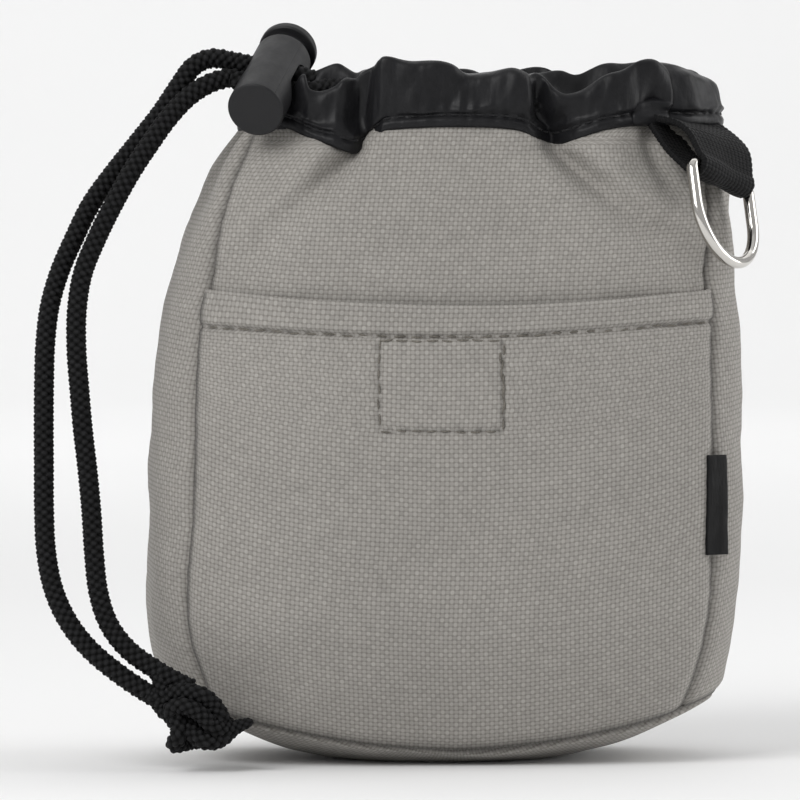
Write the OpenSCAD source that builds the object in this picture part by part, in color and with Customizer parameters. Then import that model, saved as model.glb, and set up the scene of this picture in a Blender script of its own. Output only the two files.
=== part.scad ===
// Drawstring pouch with a front pocket, a side D-ring and a two-cord barrel lock.
// Frame: +Z up, -Y is the front with the pocket, origin at the middle of the flat of the base.

/* [Bag] */
// Widest width of the filled bag
body_w = 130; // [120:1:140]
// Depth of the filled bag at its belly
body_d = 74; // [66:1:84]
// Height of the grey cloth, from the floor to the casing
shell_h = 139; // [132:1:146]
// Thickness of the coated outer cloth
cloth_t = 1; // [0.7:0.1:1.2]
// Thickness of the lining
lining_t = 0.6; // [0.4:0.1:0.8]

/* [Mouth] */
// Height of the drawstring casing
casing_h = 15; // [13:0.5:17]
// Thickness of the casing from its outer to its inner wall
casing_t = 7; // [6.5:0.5:8]
// Thickness of the casing's nylon
nylon_t = 0.6; // [0.4:0.1:0.8]

/* [Pocket] */
// Height of the pocket's top edge
pocket_h = 99; // [85:1:105]
// Height of the pocket's folded hem
hem_h = 7; // [5:0.5:10]
// Width of the hook and loop patches behind the stitched rectangle
patch_w = 27; // [20:1:34]
// Height of the hook and loop patches
patch_h = 21; // [14:1:24]

/* [Cord and lock] */
// Diameter of the drawstring
cord_d = 4.2; // [3.6:0.1:4.2]
// Outer diameter of the lock's barrel
barrel_d = 12.4; // [12.4:0.1:13]
// Length of the lock's barrel
barrel_l = 25; // [25:0.5:27]
// Travel of the lock's plunger
plunger_travel = 3; // [2:0.5:3]

/* [Ring] */
// Clear width inside the D-ring, for the webbing
ring_w = 20; // [20:0.5:22]
// Diameter of the D-ring's wire
ring_wire = 2.6; // [2.2:0.1:2.8]
// Thickness of the webbing
webbing_t = 1.2; // [0.9:0.1:1.4]

/* [Hidden] */

cloth_grey = "#94908a";
nylon_black = "#232326";
webbing_black = "#18181a";
cord_black = "#161618";
lock_grey = "#3a3a3e";
steel = "silver";

seam_gap = 0.15;   // hairline gap between sewn pieces
hair = 0.1;        // gap between layers that lie on each other
round_fn = 64;

// The filled bag, station by station from the floor to the casing:
// height, lean to the right, half width, half depth, squareness of the plan, corner seam angle.
// Height is a share of shell_h, lean of body_w, the half sizes of body_w / 2 and body_d / 2.
STATIONS = [
    [0.00,  0.000, 0.86, 0.70, 2.8, 22],
    [0.06, -0.002, 0.90, 0.80, 3.0, 23.5],
    [0.10, -0.004, 0.93, 0.86, 3.1, 24.5],
    [0.19, -0.008, 0.98, 0.95, 3.2, 24.5],
    [0.40,  0.000, 1.00, 1.00, 3.2, 25.4],
    [0.56,  0.003, 0.99, 0.99, 3.1, 24.5],
    [0.69,  0.007, 0.97, 0.94, 3.0, 22.8],
    [0.81,  0.020, 0.94, 0.85, 2.9, 20.5],
    [0.88,  0.030, 0.91, 0.77, 2.8, 18],
    [0.94,  0.041, 0.88, 0.68, 2.6, 15.5],
    [1.00,  0.051, 0.837, 0.595, 2.4, 13],
];
function station(z, column) =
    lookup(z / shell_h, [for (s = STATIONS) [s[0], s[column]]]);

// Point of the bag's outer surface at plan angle phi and height z, moved outwards by off.
function skin_point(phi, z, off = 0) =
    let (
        a = station(z, 2) * body_w / 2 + off,
        b = station(z, 3) * body_d / 2 + off,
        e = station(z, 4),
        r = pow(pow(abs(cos(phi)) / a, e) + pow(abs(sin(phi)) / b, e), -1 / e)
    )
    [station(z, 1) * body_w + r * cos(phi), r * sin(phi), z];

// The seam round the base: lowest at the middle of the front and back, highest at the corners.
base_seam_low = 3.5;
base_seam_rise = 9.5;
base_seam_power = 2.6;
function seam_z(phi) =
    let (reach = abs(skin_point(phi, base_seam_low)[0]) / (body_w * 0.44))
    base_seam_low + base_seam_rise * pow(min(1, reach), base_seam_power);

// Plan angle at share t of a side, between its two corner seams.
FRONT = 0;
RIGHT = 1;
BACK = 2;
LEFT = 3;
function side_phi(side, t, z) =
    let (
        s = station(z, 5),
        gap = seam_gap,
        ends = side == FRONT ? [180 + s, 360 - s]
            : side == RIGHT ? [-s, s]
            : side == BACK ? [s, 180 - s]
            : [180 - s, 180 + s]
    )
    ends[0] + gap + t * (ends[1] - ends[0] - 2 * gap);

function lerp(a, b, t) = a + (b - a) * t;
function unit(v) = v / norm(v);
function square_to(v, axis) = unit(v - (v * axis) * axis);

// Closed solid through a stack of rings with equal point counts. The ends are closed, or
// with looped = true the last ring joins the first.
module skin(rings, looped = false) {
    m = len(rings[0]);
    n = len(rings);
    bands = looped ? n : n - 1;
    sides = [
        for (k = [0 : bands - 1], i = [0 : m - 1])
            let (
                a = k * m + i,
                b = k * m + (i + 1) % m,
                c = ((k + 1) % n) * m + (i + 1) % m,
                d = ((k + 1) % n) * m + i
            )
            each [[a, b, c], [a, c, d]]
    ];
    function cap(first, turn) = [
        for (i = [0 : floor(m / 2) - 2])
            let (a = first + i, b = a + 1, c = first + m - 2 - i, d = c + 1)
            each turn ? [[a, c, b], [a, d, c]] : [[a, b, c], [a, c, d]]
    ];
    caps = looped ? [] : concat(cap(0, true), cap((n - 1) * m, false));
    polyhedron(points = [for (r = rings) each r], faces = concat(sides, caps));
}

// Tube of diameter d along a list of points, with its ends square to the path.
module tube(path, d, sides = 8) {
    n = len(path);
    function along(i) = unit(path[min(i + 1, n - 1)] - path[max(i - 1, 0)]);
    function side_of(i) =
        i == 0 ? square_to([0.3, -1, 0.1], along(0)) : square_to(side_of(i - 1), along(i));
    skin([
        for (i = [0 : n - 1])
            let (s = side_of(i), t = cross(along(i), s))
            [for (k = [0 : sides - 1])
                let (a = k * 360 / sides) path[i] - d / 2 * (s * cos(a) - t * sin(a))]
    ]);
}

// Smooth curve through a list of points, with the given number of steps between two of them.
function smooth(path, steps) =
    let (n = len(path))
    [
        for (i = [0 : n - 2], s = [0 : steps - 1])
            let (
                t = s / steps,
                a = path[max(i - 1, 0)],
                b = path[i],
                c = path[i + 1],
                d = path[min(i + 2, n - 1)]
            )
            b + ((c - a) * t + (2 * a - 5 * b + 4 * c - d) * t * t
                + (3 * b - a - 3 * c + d) * t * t * t) / 2,
        path[n - 1],
    ];

// Sheet that follows the bag's surface on one side: shares t0 to t1 across, heights z0 to z1
// (z0 undef starts at the base seam), and from offset inner(t, v) to outer(t, v).
module cloth(side, t0, t1, z0, z1, inner, outer, across = 14, up = 12) {
    function at(i, j, offset) =
        let (
            t = lerp(t0, t1, i / across),
            v = j / up,
            foot = is_undef(z0) ? seam_z(side_phi(side, t, base_seam_low)) + seam_gap : z0,
            z = lerp(foot, z1, v)
        )
        skin_point(side_phi(side, t, z), z, offset(t, v));
    skin([
        for (j = [0 : up])
            concat(
                [for (i = [0 : across]) at(i, j, outer)],
                [for (i = [across : -1 : 0]) at(i, j, inner)]
            )
    ]);
}

module wall(side, across) {
    cloth(side, 0, 1, undef, shell_h, function (t, v) -cloth_t, function (t, v) 0, across);
}

// Flat of the base that stands on the floor, as an ellipse.
flat_w = 50;
flat_d = 34;
RING_STEP = 7.5;
RING_ANGLES = [0 : RING_STEP : 359];
base_curve = 1.4;
function base_ring(share, inset, lift) = [
    for (phi = RING_ANGLES)
        let (
            rim = skin_point(phi, seam_z(phi), -inset),
            flat = [cos(phi) * flat_w / 2, sin(phi) * flat_d / 2, 0],
            p = lerp(flat, rim, share)
        )
        [p[0], p[1], lift + (seam_z(phi) - cloth_t) * pow(share, base_curve)]
];

module base_panel() {
    color(cloth_grey)
        skin([
            for (s = [0, 0.25, 0.5, 0.75, 1]) base_ring(s, 0, 0),
            for (s = [1, 0.75, 0.5, 0.25, 0]) base_ring(s, cloth_t, cloth_t),
        ]);
}

module front_panel() { color(cloth_grey) wall(FRONT, 18); }
module back_panel() { color(cloth_grey) wall(BACK, 18); }
module left_gusset() { color(cloth_grey) wall(LEFT, 10); }
module right_gusset() { color(cloth_grey) wall(RIGHT, 10); }

// Loose inner bag of thin nylon, just inside the cloth and open at the top.
lining_gap = 0.6;
lining_rows = 9;
function lining_ring(v, inset) = [
    for (phi = RING_ANGLES)
        let (foot = seam_z(phi) + inset)
        skin_point(phi, lerp(foot, shell_h, v), -inset)
];
function lining_floor(share, inset) = [
    for (p = base_ring(share, inset, 0)) [p[0], p[1], p[2] + (share < 1 ? inset : inset + cloth_t * 0.5)]
];
module lining() {
    out = cloth_t + lining_gap;
    in = out + lining_t;
    color(nylon_black)
        skin([
            for (s = [0, 0.35, 0.7]) lining_floor(s, out),
            for (j = [0 : lining_rows]) lining_ring(j / lining_rows, out),
            for (j = [lining_rows : -1 : 0]) lining_ring(j / lining_rows, in),
            for (s = [0.7, 0.35, 0]) lining_floor(s, in),
        ]);
}

// The pocket lies on the front panel and stands off it by the two patches at its middle.
patch_t = 1.1;
pocket_room = 2 * patch_t + 3 * hair;
function ramp(x) = let (s = max(0, min(1, x))) s * s * (3 - 2 * s);
function pocket_gap(t, v) = hair + pocket_room * ramp(4 * t) * ramp(4 * (1 - t)) * ramp(3 * v);
module pocket_panel() {
    color(cloth_grey)
        cloth(FRONT, 0, 1, undef, pocket_h,
            function (t, v) pocket_gap(t, v),
            function (t, v) pocket_gap(t, v) + cloth_t, 18);
}

// The patches' place on the front, as shares across and heights.
patch_x = -16.5;
belly_seam = 25;
function front_share(x) = (90 - belly_seam + atan(2 * x / body_d)) / (180 - 2 * belly_seam);
PATCH_T = [front_share(patch_x), front_share(patch_x + patch_w)];
PATCH_Z = [pocket_h - hem_h - patch_h, pocket_h - hem_h];
module patch(from) {
    cloth(FRONT, PATCH_T[0], PATCH_T[1], PATCH_Z[0], PATCH_Z[1],
        function (t, v) from, function (t, v) from + patch_t, 6, 4);
}
module pocket_loop_patch() { color(nylon_black) patch(hair); }
module pocket_hook_patch() { color(nylon_black) patch(2 * hair + patch_t); }

// Sewing thread, as flat strips that lie on the cloth.
thread_w = 0.5;
thread_t = 0.3;
module thread(t0, t1, z0, z1, across, up) {
    on = pocket_room + cloth_t + 2 * hair;
    cloth(FRONT, t0, t1, z0, z1, function (t, v) on, function (t, v) on + thread_t, across, up);
}
module pocket_hem_thread() {
    z = pocket_h - hem_h;
    color("dimgray")
        cloth(FRONT, 0.01, 0.99, z, z + thread_w,
            function (t, v) pocket_gap(t, 1) + cloth_t + hair,
            function (t, v) pocket_gap(t, 1) + cloth_t + hair + thread_t, 18, 1);
}
module patch_thread() {
    w = front_share(thread_w) - front_share(0);
    clear = 0.3;
    color("dimgray") {
        for (t = PATCH_T) thread(t - w / 2, t + w / 2, PATCH_Z[0], PATCH_Z[1] - clear, 1, 4);
        thread(PATCH_T[0] - w / 2, PATCH_T[1] + w / 2, PATCH_Z[0] - clear - thread_w,
            PATCH_Z[0] - clear, 6, 1);
    }
}

// The casing is a hollow nylon tube round the mouth, open at its two ends by the lock.
casing_start = 205;
casing_end = 360 + 155;
casing_steps = 40;
casing_z = shell_h + seam_gap;
function casing_phi(share) = lerp(casing_start, casing_end, share);
function casing_point(phi, off, z) =
    let (p = skin_point(phi, shell_h, off)) [p[0], p[1], z];
function casing_ring(share, wall) = [
    for (k = [0 : 30 : 359])
        let (
            power = 2 / 3,
            c = cos(k),
            s = sin(k),
            off = (casing_t / 2 - wall) * sign(c) * pow(abs(c), power),
            up = (casing_h / 2 - wall) * sign(s) * pow(abs(s), power)
        )
        casing_point(casing_phi(share), off - casing_t / 2, casing_z + casing_h / 2 + up)
];
module drawstring_casing() {
    color(nylon_black)
        skin(looped = true, rings = [
            for (i = [0 : casing_steps]) casing_ring(i / casing_steps, 0),
            for (i = [casing_steps : -1 : 0]) casing_ring(i / casing_steps, nylon_t),
        ]);
}

casing_hem = 2.5;
module casing_thread() {
    z = casing_z + casing_hem;
    color("black")
        skin([
            for (i = [1 : casing_steps - 1])
                let (phi = casing_phi(i / casing_steps))
                [
                    casing_point(phi, hair, z),
                    casing_point(phi, hair + thread_t, z),
                    casing_point(phi, hair + thread_t, z + thread_w),
                    casing_point(phi, hair, z + thread_w),
                ]
        ]);
}

// Folded woven label, sewn into the right front seam and lying on the gusset.
label_z = [37, 66];
label_reach = 0.1;
module side_label() {
    color(webbing_black)
        cloth(RIGHT, 0.005, label_reach, label_z[0], label_z[1],
            function (t, v) 0.3, function (t, v) 1.1, 4, 8);
}

// The D-ring: its bar lies along ring_bar, and it hangs from it towards ring_hang.
bar_mid = [58.3, -22.2, 127.9];
ring_bar = unit([0.62, 0.74, -0.26]);
ring_hang = square_to([0.09, -0.375, -0.92], ring_bar);
ring_arm = 9;
ring_corner = 2;
arm_x = (ring_w + ring_wire) / 2;

// Places children so that their X axis lies along x and their Z axis along z.
module framed(origin, x, z) {
    y = cross(z, x);
    multmatrix([
        [x[0], y[0], z[0], origin[0]],
        [x[1], y[1], z[1], origin[1]],
        [x[2], y[2], z[2], origin[2]],
        [0, 0, 0, 1],
    ]) children();
}

module rod(length) { cylinder(h = length, d = ring_wire, $fn = round_fn); }
module bend(radius, angle) {
    rotate_extrude(angle = angle, $fn = round_fn)
        translate([radius, 0]) circle(d = ring_wire, $fn = 32);
}
module d_ring() {
    color(steel)
        framed(bar_mid, ring_bar, -ring_hang) {
            translate([-arm_x + ring_corner, 0, 0])
                rotate([0, 90, 0]) rod(2 * (arm_x - ring_corner));
            for (s = [-1, 1])
                translate([s * arm_x, 0, -ring_arm]) rod(ring_arm - ring_corner);
            translate([arm_x - ring_corner, 0, -ring_corner])
                rotate([90, 0, 0]) bend(ring_corner, 90);
            translate([-arm_x + ring_corner, 0, -ring_corner])
                rotate([90, 0, 0]) rotate([0, 0, 90]) bend(ring_corner, 90);
            translate([0, 0, -ring_arm])
                rotate([90, 0, 0]) rotate([0, 0, 180]) bend(arm_x, 180);
        }
}

// Webbing loop: a strip folded round the ring's bar, with both ends in the mouth's seam.
// Its outline is in the plane square to the bar: first the way to the seam, then outwards.
loop_clear = 0.2;
loop_strip = ring_w - 0.6;
seam_way = square_to([-0.15, 0.44, 0.89], ring_bar);
loop_r = ring_wire / 2 + loop_clear;
function loop_outline(grow) = concat(
    [[14, -0.7 + grow], [11.5, 1.3 + grow], [8.5, 2.7 + grow], [5, 3 + grow]],
    [for (a = [80 : 20 : 280]) (loop_r + grow) * [cos(a), sin(a)]],
    [[5, -1.4 - grow], [8.5, -1.2 - grow], [11.5, -1.2 - grow], [14, -1.4 - grow]]
);
module ring_loop() {
    color(webbing_black)
        framed(bar_mid, seam_way, ring_bar)
            translate([0, 0, -loop_strip / 2])
                linear_extrude(loop_strip)
                    difference() {
                        polygon(loop_outline(webbing_t));
                        polygon(loop_outline(0));
                    }
}

// The barrel lock. Local Z runs from the closed end to the button, and the cords leave
// along lock_out. Its local origin is midway between the two cords. The spring holds the
// plunger's slot out of line with the barrel's, and pressing the button brings them in line.
lock_mid = [-38.4, -12, 148.8];
lock_axis = unit([0.278, 0.848, 0.452]);
lock_out = square_to([-0.955, 0.209, 0.2], lock_axis);
barrel_bottom = -barrel_l * 0.62;
barrel_top = barrel_bottom + barrel_l;
barrel_floor = 1.5;
bore_d = barrel_d - 2.4;
shaft_d = bore_d - 0.16;
cord_along = 1.9;
cord_across = 1.1;
slot_w = cord_d + 2 * cord_across + 0.7;
slot_reach = cord_along + cord_d / 2 + 0.9;
shaft_bottom = -8.5;
button_t = 2.6;
button_d = barrel_d + 0.4;

module cord_slot(low, high) {
    rotate([0, 90, 0]) {
        for (z = [low + slot_w / 2, high - slot_w / 2])
            translate([-z, 0, -barrel_d])
                cylinder(h = 2 * barrel_d, d = slot_w, $fn = round_fn);
        translate([-(high - slot_w / 2), -slot_w / 2, -barrel_d])
            cube([max(0.1, high - low - slot_w), slot_w, 2 * barrel_d]);
    }
}
module lock_barrel() {
    color(lock_grey)
        framed(lock_mid, -lock_out, lock_axis)
            difference() {
                translate([0, 0, barrel_bottom])
                    cylinder(h = barrel_l, d = barrel_d, $fn = round_fn);
                translate([0, 0, barrel_bottom + barrel_floor])
                    cylinder(h = barrel_l, d = bore_d, $fn = round_fn);
                cord_slot(-slot_reach - plunger_travel, slot_reach);
            }
}
module lock_plunger() {
    color(lock_grey)
        framed(lock_mid, -lock_out, lock_axis)
            difference() {
                union() {
                    translate([0, 0, shaft_bottom])
                        cylinder(h = barrel_top + plunger_travel + 1 - shaft_bottom, d = shaft_d,
                            $fn = round_fn);
                    translate([0, 0, barrel_top + plunger_travel + 0.2])
                        cylinder(h = button_t, d = button_d, $fn = round_fn);
                }
                cord_slot(-slot_reach, slot_reach + plunger_travel);
            }
}

spring_wire = 0.7;
spring_d = 7;
spring_turns = 4;
module lock_spring() {
    low = barrel_bottom + barrel_floor + spring_wire / 2 + hair;
    high = shaft_bottom - spring_wire / 2 - hair;
    steps = 14 * spring_turns;
    color(steel)
        framed(lock_mid, -lock_out, lock_axis)
            tube([
                for (i = [0 : steps])
                    let (a = i / steps * 360 * spring_turns)
                    [cos(a) * spring_d / 2, sin(a) * spring_d / 2, lerp(low, high, i / steps)]
            ], spring_wire, 6);
}

// The drawstring is one cord. Its middle runs inside the casing and through the lock, and
// its two ends hang from the lock to the knot. First come the places in the lock's slot.
lock_side = cross(lock_axis, lock_out);
back_slot = lock_mid + cord_along * lock_axis + cord_across * lock_side;
front_slot = lock_mid - cord_along * lock_axis - cord_across * lock_side;
face = barrel_d / 2;
straight = 9.5;
function casing_middle(phi) = casing_point(phi, -casing_t / 2, casing_z + casing_h / 2);
BACK_LEAD = [[-29, -12, 148.4], [-24.6, -10.6, 148.2], [-22.4, -6, 148], [-23, 0, 147.6],
             [-25.2, 6, 147.2], [-26.6, 11, 146.9]];
FRONT_LEAD = [[-30.6, -15.8, 146]];
run_steps = 30;
module drawstring() {
    color(cord_black)
        tube(smooth(concat(
            [for (u = [face, 0, -3, -5]) back_slot + u * lock_out],
            BACK_LEAD,
            [for (i = [run_steps : -1 : 0]) casing_middle(casing_phi(i / run_steps))],
            FRONT_LEAD,
            [for (u = [-5, -3, 0, face]) front_slot + u * lock_out]
        ), 2), cord_d);
}

OUTER_ROUTE = [
    [-51.6, -9, 153.2], [-55.6, -9.5, 151.4], [-58.9, -10.3, 147], [-62.8, -11.3, 141.2],
    [-67.7, -12.5, 135], [-73.3, -13.7, 128], [-78, -15, 121.5], [-81.5, -16.5, 114.5],
    [-84.8, -18, 107], [-87, -19.5, 99.5], [-88, -21, 91.5], [-88.3, -22.5, 83],
    [-88.4, -24, 74], [-88.4, -25.5, 65], [-88.4, -27, 56], [-88, -28.5, 47],
    [-86.5, -30, 39], [-83.5, -31.5, 32.2], [-79, -33, 26.3], [-73, -34.5, 21.2],
    [-66.8, -35.7, 17], [-62, -36.3, 14.5], [-57.5, -36.5, 13],
];
INNER_ROUTE = [
    [-52.4, -12.4, 147.6], [-57, -13.4, 144.6], [-61.3, -14.8, 140], [-65.2, -16.3, 134.6],
    [-69.2, -17.8, 128.6], [-73.2, -19.2, 121.5], [-76.9, -20.2, 114], [-79.9, -21.2, 106.5],
    [-81.2, -22.2, 98.5], [-81.3, -23.2, 90], [-80.7, -24.4, 81.5], [-80, -25.6, 73],
    [-79, -26.8, 64], [-78.2, -28, 55], [-77.7, -29.4, 46.5], [-76.8, -31, 38.2],
    [-74.6, -32.5, 31.4], [-70.5, -34, 26], [-65, -35.2, 22], [-60.5, -36, 19.4],
    [-56.8, -36.3, 17.6],
];
module strand(slot, route) {
    color(cord_black)
        tube(smooth(concat(
            [for (u = [face + hair, straight - 2, straight]) slot + u * lock_out],
            route
        ), 2), cord_d);
}
module outer_strand() { strand(back_slot, OUTER_ROUTE); }
module inner_strand() { strand(front_slot, INNER_ROUTE); }

// Overhand knot that ties the two ends together: two crossed turns and two short tails.
knot_mid = [-54, -36.5, 12];
KNOT_TURNS = [[[-56.4, -36.5, 12.8], [0.93, 0.3, -0.2]], [[-51.8, -36.5, 11.2], [0.85, -0.3, -0.43]]];
turn_r = 4;
TAILS = [[-44.2, -35.6, 8.6], [-45.8, -38.4, 12.8]];
module cord_knot() {
    color(cord_black) {
        translate(knot_mid) sphere(turn_r, $fn = round_fn);
        for (turn = KNOT_TURNS)
            let (axis = unit(turn[1]))
            framed(turn[0], square_to([0, 1, 0], axis), axis)
                rotate_extrude($fn = round_fn)
                    translate([turn_r, 0]) circle(d = cord_d, $fn = 32);
        for (tip = TAILS)
            let (way = unit(tip - knot_mid))
            framed(knot_mid, square_to([0, 1, 0], way), way)
                cylinder(h = norm(tip - knot_mid), d = cord_d, $fn = round_fn);
    }
}

base_panel();
front_panel();
back_panel();
left_gusset();
right_gusset();
lining();
pocket_panel();
pocket_hook_patch();
pocket_loop_patch();
pocket_hem_thread();
patch_thread();
drawstring_casing();
casing_thread();
side_label();
ring_loop();
d_ring();
drawstring();
outer_strand();
inner_strand();
cord_knot();
lock_barrel();
lock_plunger();
lock_spring();
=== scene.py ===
"""Looks for the drawstring pouch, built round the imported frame. Lengths are in mm until make_mesh."""
import math

import bmesh
import bpy
import numpy as np
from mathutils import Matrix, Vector


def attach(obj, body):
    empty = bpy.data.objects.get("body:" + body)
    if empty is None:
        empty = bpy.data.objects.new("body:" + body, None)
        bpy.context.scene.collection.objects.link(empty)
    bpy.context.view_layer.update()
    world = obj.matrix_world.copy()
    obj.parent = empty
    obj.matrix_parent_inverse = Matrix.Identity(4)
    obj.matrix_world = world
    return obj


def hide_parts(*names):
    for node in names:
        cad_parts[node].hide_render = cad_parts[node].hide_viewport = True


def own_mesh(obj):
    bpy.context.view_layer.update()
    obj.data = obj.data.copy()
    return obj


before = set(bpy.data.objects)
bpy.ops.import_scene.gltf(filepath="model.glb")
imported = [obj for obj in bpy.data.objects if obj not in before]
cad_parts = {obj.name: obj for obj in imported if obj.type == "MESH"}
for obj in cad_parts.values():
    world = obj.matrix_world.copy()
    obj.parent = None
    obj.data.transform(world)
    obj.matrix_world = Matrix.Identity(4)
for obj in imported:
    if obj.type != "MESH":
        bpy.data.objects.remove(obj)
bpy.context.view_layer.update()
scene = bpy.context.scene
MM = 0.001


# ---------------------------------------------------------------- helpers

def arr(*v):
    return np.array(v, float)


def unit(v):
    v = np.asarray(v, float)
    return v / np.maximum(np.linalg.norm(v, axis=-1, keepdims=True), 1e-12)


def square_to(v, axis):
    v = np.asarray(v, float)
    return unit(v - (v @ axis) * axis)


def stack(*parts):
    return np.stack(parts, axis=-1)


def circle(n):
    """Angles of n even steps round a circle, in radians."""
    return np.arange(n) * 2 * np.pi / n


def ramp(x):
    s = np.clip(x, 0, 1)
    return s * s * (3 - 2 * s)


def bell(x, w):
    return np.exp(-((x / w) ** 2))


def curve(x, xs, ys):
    """Smooth curve through a table, flat outside it."""
    xs, ys = np.asarray(xs, float), np.asarray(ys, float)
    d = np.gradient(ys, xs)
    x = np.clip(x, xs[0], xs[-1])
    i = np.clip(np.searchsorted(xs, x, side="right") - 1, 0, len(xs) - 2)
    h = xs[i + 1] - xs[i]
    t = (x - xs[i]) / h
    return (
        (2 * t**3 - 3 * t**2 + 1) * ys[i] + (t**3 - 2 * t**2 + t) * h * d[i]
        + (3 * t**2 - 2 * t**3) * ys[i + 1] + (t**3 - t**2) * h * d[i + 1]
    )


def through(points, steps):
    """Catmull-Rom line through points (any trailing shape), steps per span."""
    p = np.asarray(points, float)
    spans = len(p) - 1
    at = np.arange(spans * steps + 1) / steps
    i = np.minimum(at.astype(int), spans - 1)
    t = (at - i).reshape((-1,) + (1,) * (p.ndim - 1))
    a, b, c, d = (p[np.clip(i + k, 0, spans)] for k in (-1, 0, 1, 2))
    return b + ((c - a) * t + (2 * a - 5 * b + 4 * c - d) * t**2 + (3 * b - a - 3 * c + d) * t**3) / 2


def travel(line):
    """Distance along a line, at each of its points."""
    return np.concatenate([[0], np.cumsum(np.linalg.norm(np.diff(line, axis=0), axis=1))])


def read_at(table, places, at):
    """A table's columns, read between its rows: places says where each row lies."""
    return stack(*[np.interp(at, places, column) for column in table.T])


def resample(line, step):
    along = travel(line)
    at = np.linspace(0, along[-1], max(2, int(math.ceil(along[-1] / step)) + 1))
    return read_at(line, along, at)


def ripple(p, size, seed, count=12):
    """Smooth random field over points, of about unit strength and the given wave size."""
    r = np.random.default_rng(seed)
    total = 0
    for _ in range(count):
        d = unit(r.normal(size=3))
        total = total + np.sin(p @ (d * 2 * np.pi / (size * r.uniform(0.7, 1.5))) + r.uniform(0, 6.28))
    return total * (2 / count) ** 0.5


def new_object(name, data):
    obj = bpy.data.objects.new(name, data)
    scene.collection.objects.link(obj)
    return obj


def make_mesh(name, verts, quads, body, mat, uv=None, ngons=()):
    verts = np.asarray(verts, float).reshape(-1, 3)
    quads = np.asarray(quads, np.int32).reshape(-1, 4)
    loops = np.concatenate([quads.ravel(), *[np.asarray(g, np.int32) for g in ngons]])
    starts = np.concatenate([
        np.arange(len(quads)) * 4,
        4 * len(quads) + np.concatenate([[0], np.cumsum([len(g) for g in ngons])])[:len(ngons)],
    ]).astype(np.int32)
    me = bpy.data.meshes.new(name)
    me.vertices.add(len(verts))
    me.vertices.foreach_set("co", (verts * MM).astype(np.float32).ravel())
    me.loops.add(len(loops))
    me.loops.foreach_set("vertex_index", loops)
    me.polygons.add(len(starts))
    me.polygons.foreach_set("loop_start", starts)
    me.polygons.foreach_set("use_smooth", np.full(len(starts), True))
    if uv is not None:
        layer = me.uv_layers.new(name="Cloth")
        layer.data.foreach_set("uv", np.asarray(uv, np.float32).reshape(-1, 2)[loops].ravel())
    me.update(calc_edges=True)
    me.validate()
    me.materials.append(mat)
    obj = new_object(name, me)
    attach(obj, body)
    return obj


def tag(obj, name, values):
    """Store a number at each point of a mesh, for its material to read."""
    layer = obj.data.attributes.new(name, "FLOAT", "POINT")
    layer.data.foreach_set("value", np.asarray(values, np.float32).ravel())
    return obj


def grid_quads(n, m, loop_n=False, loop_m=False, first=0, turn=False):
    i = np.arange(n if loop_n else n - 1)
    j = np.arange(m if loop_m else m - 1)
    i, j = (g.ravel() for g in np.meshgrid(i, j, indexing="ij"))
    i2, j2 = (i + 1) % n, (j + 1) % m
    q = np.stack([i * m + j, i2 * m + j, i2 * m + j2, i * m + j2], axis=1) + first
    return q if turn else q[:, ::-1]


def grid(name, P, body, mat, uv=None, loop_n=False, loop_m=False, turn=False):
    n, m = P.shape[:2]
    return make_mesh(name, P, grid_quads(n, m, loop_n, loop_m, turn=turn), body, mat, uv)


def ringed(name, P, mat, uv=None):
    """Rings of points, one above the other, with the first ring filled."""
    n, m = P.shape[:2]
    return make_mesh(name, P, grid_quads(n, m, loop_m=True), "pouch", mat, uv, [np.arange(m)[::-1]])


def thick(obj, mm, offset=-1.0):
    mod = obj.modifiers.new("cloth", "SOLIDIFY")
    mod.thickness, mod.offset, mod.use_even_offset = mm * MM, offset, False
    return obj


def frames(line, start_side):
    """Tangents and two sides along a line, turned as little as possible."""
    t = unit(np.gradient(line, axis=0))
    s = np.zeros_like(t)
    s[0] = square_to(start_side, t[0])
    for i in range(1, len(t)):
        s[i] = square_to(s[i - 1], t[i])
    return t, s, np.cross(t, s)


def tube_grid(line, radius, sides, start_side=(0.3, -1, 0.1), shape=None):
    t, s, b = frames(line, start_side)
    a = circle(sides)[:, None]
    r = np.broadcast_to(radius, (len(line),))[:, None] * np.ones(sides)
    if shape is not None:
        r = r + shape
    return line[:, None] + r[..., None] * (s[:, None] * np.cos(a) + b[:, None] * np.sin(a))


def joined(name, parts, body, mat):
    """One mesh from several tube grids that close round their second index, with their ends capped.

    A part may come as (grid, plait), where plait says how high each point lies in the braid."""
    verts, quads, ngons, plaits, first = [], [], [], [], 0
    for part in parts:
        P, plait = part if isinstance(part, tuple) else (part, None)
        n, m = P.shape[:2]
        verts.append(P.reshape(-1, 3))
        quads.append(grid_quads(n, m, loop_m=True, first=first))
        ngons += [first + np.arange(m)[::-1], first + np.arange((n - 1) * m, n * m)]
        if plait is not None:
            plaits.append(plait.ravel())
        first += n * m
    obj = make_mesh(name, np.concatenate(verts), np.concatenate(quads), body, mat, ngons=ngons)
    if plaits:
        tag(obj, "plait", np.concatenate(plaits))
    return obj


# ---------------------------------------------------------------- materials

def srgb(*rgb):
    """Linear colour from screen values of 0 to 255."""
    return tuple(c / 255 / 12.92 if c <= 10 else ((c / 255 + 0.055) / 1.055) ** 2.4 for c in rgb) + (1.0,)


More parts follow.
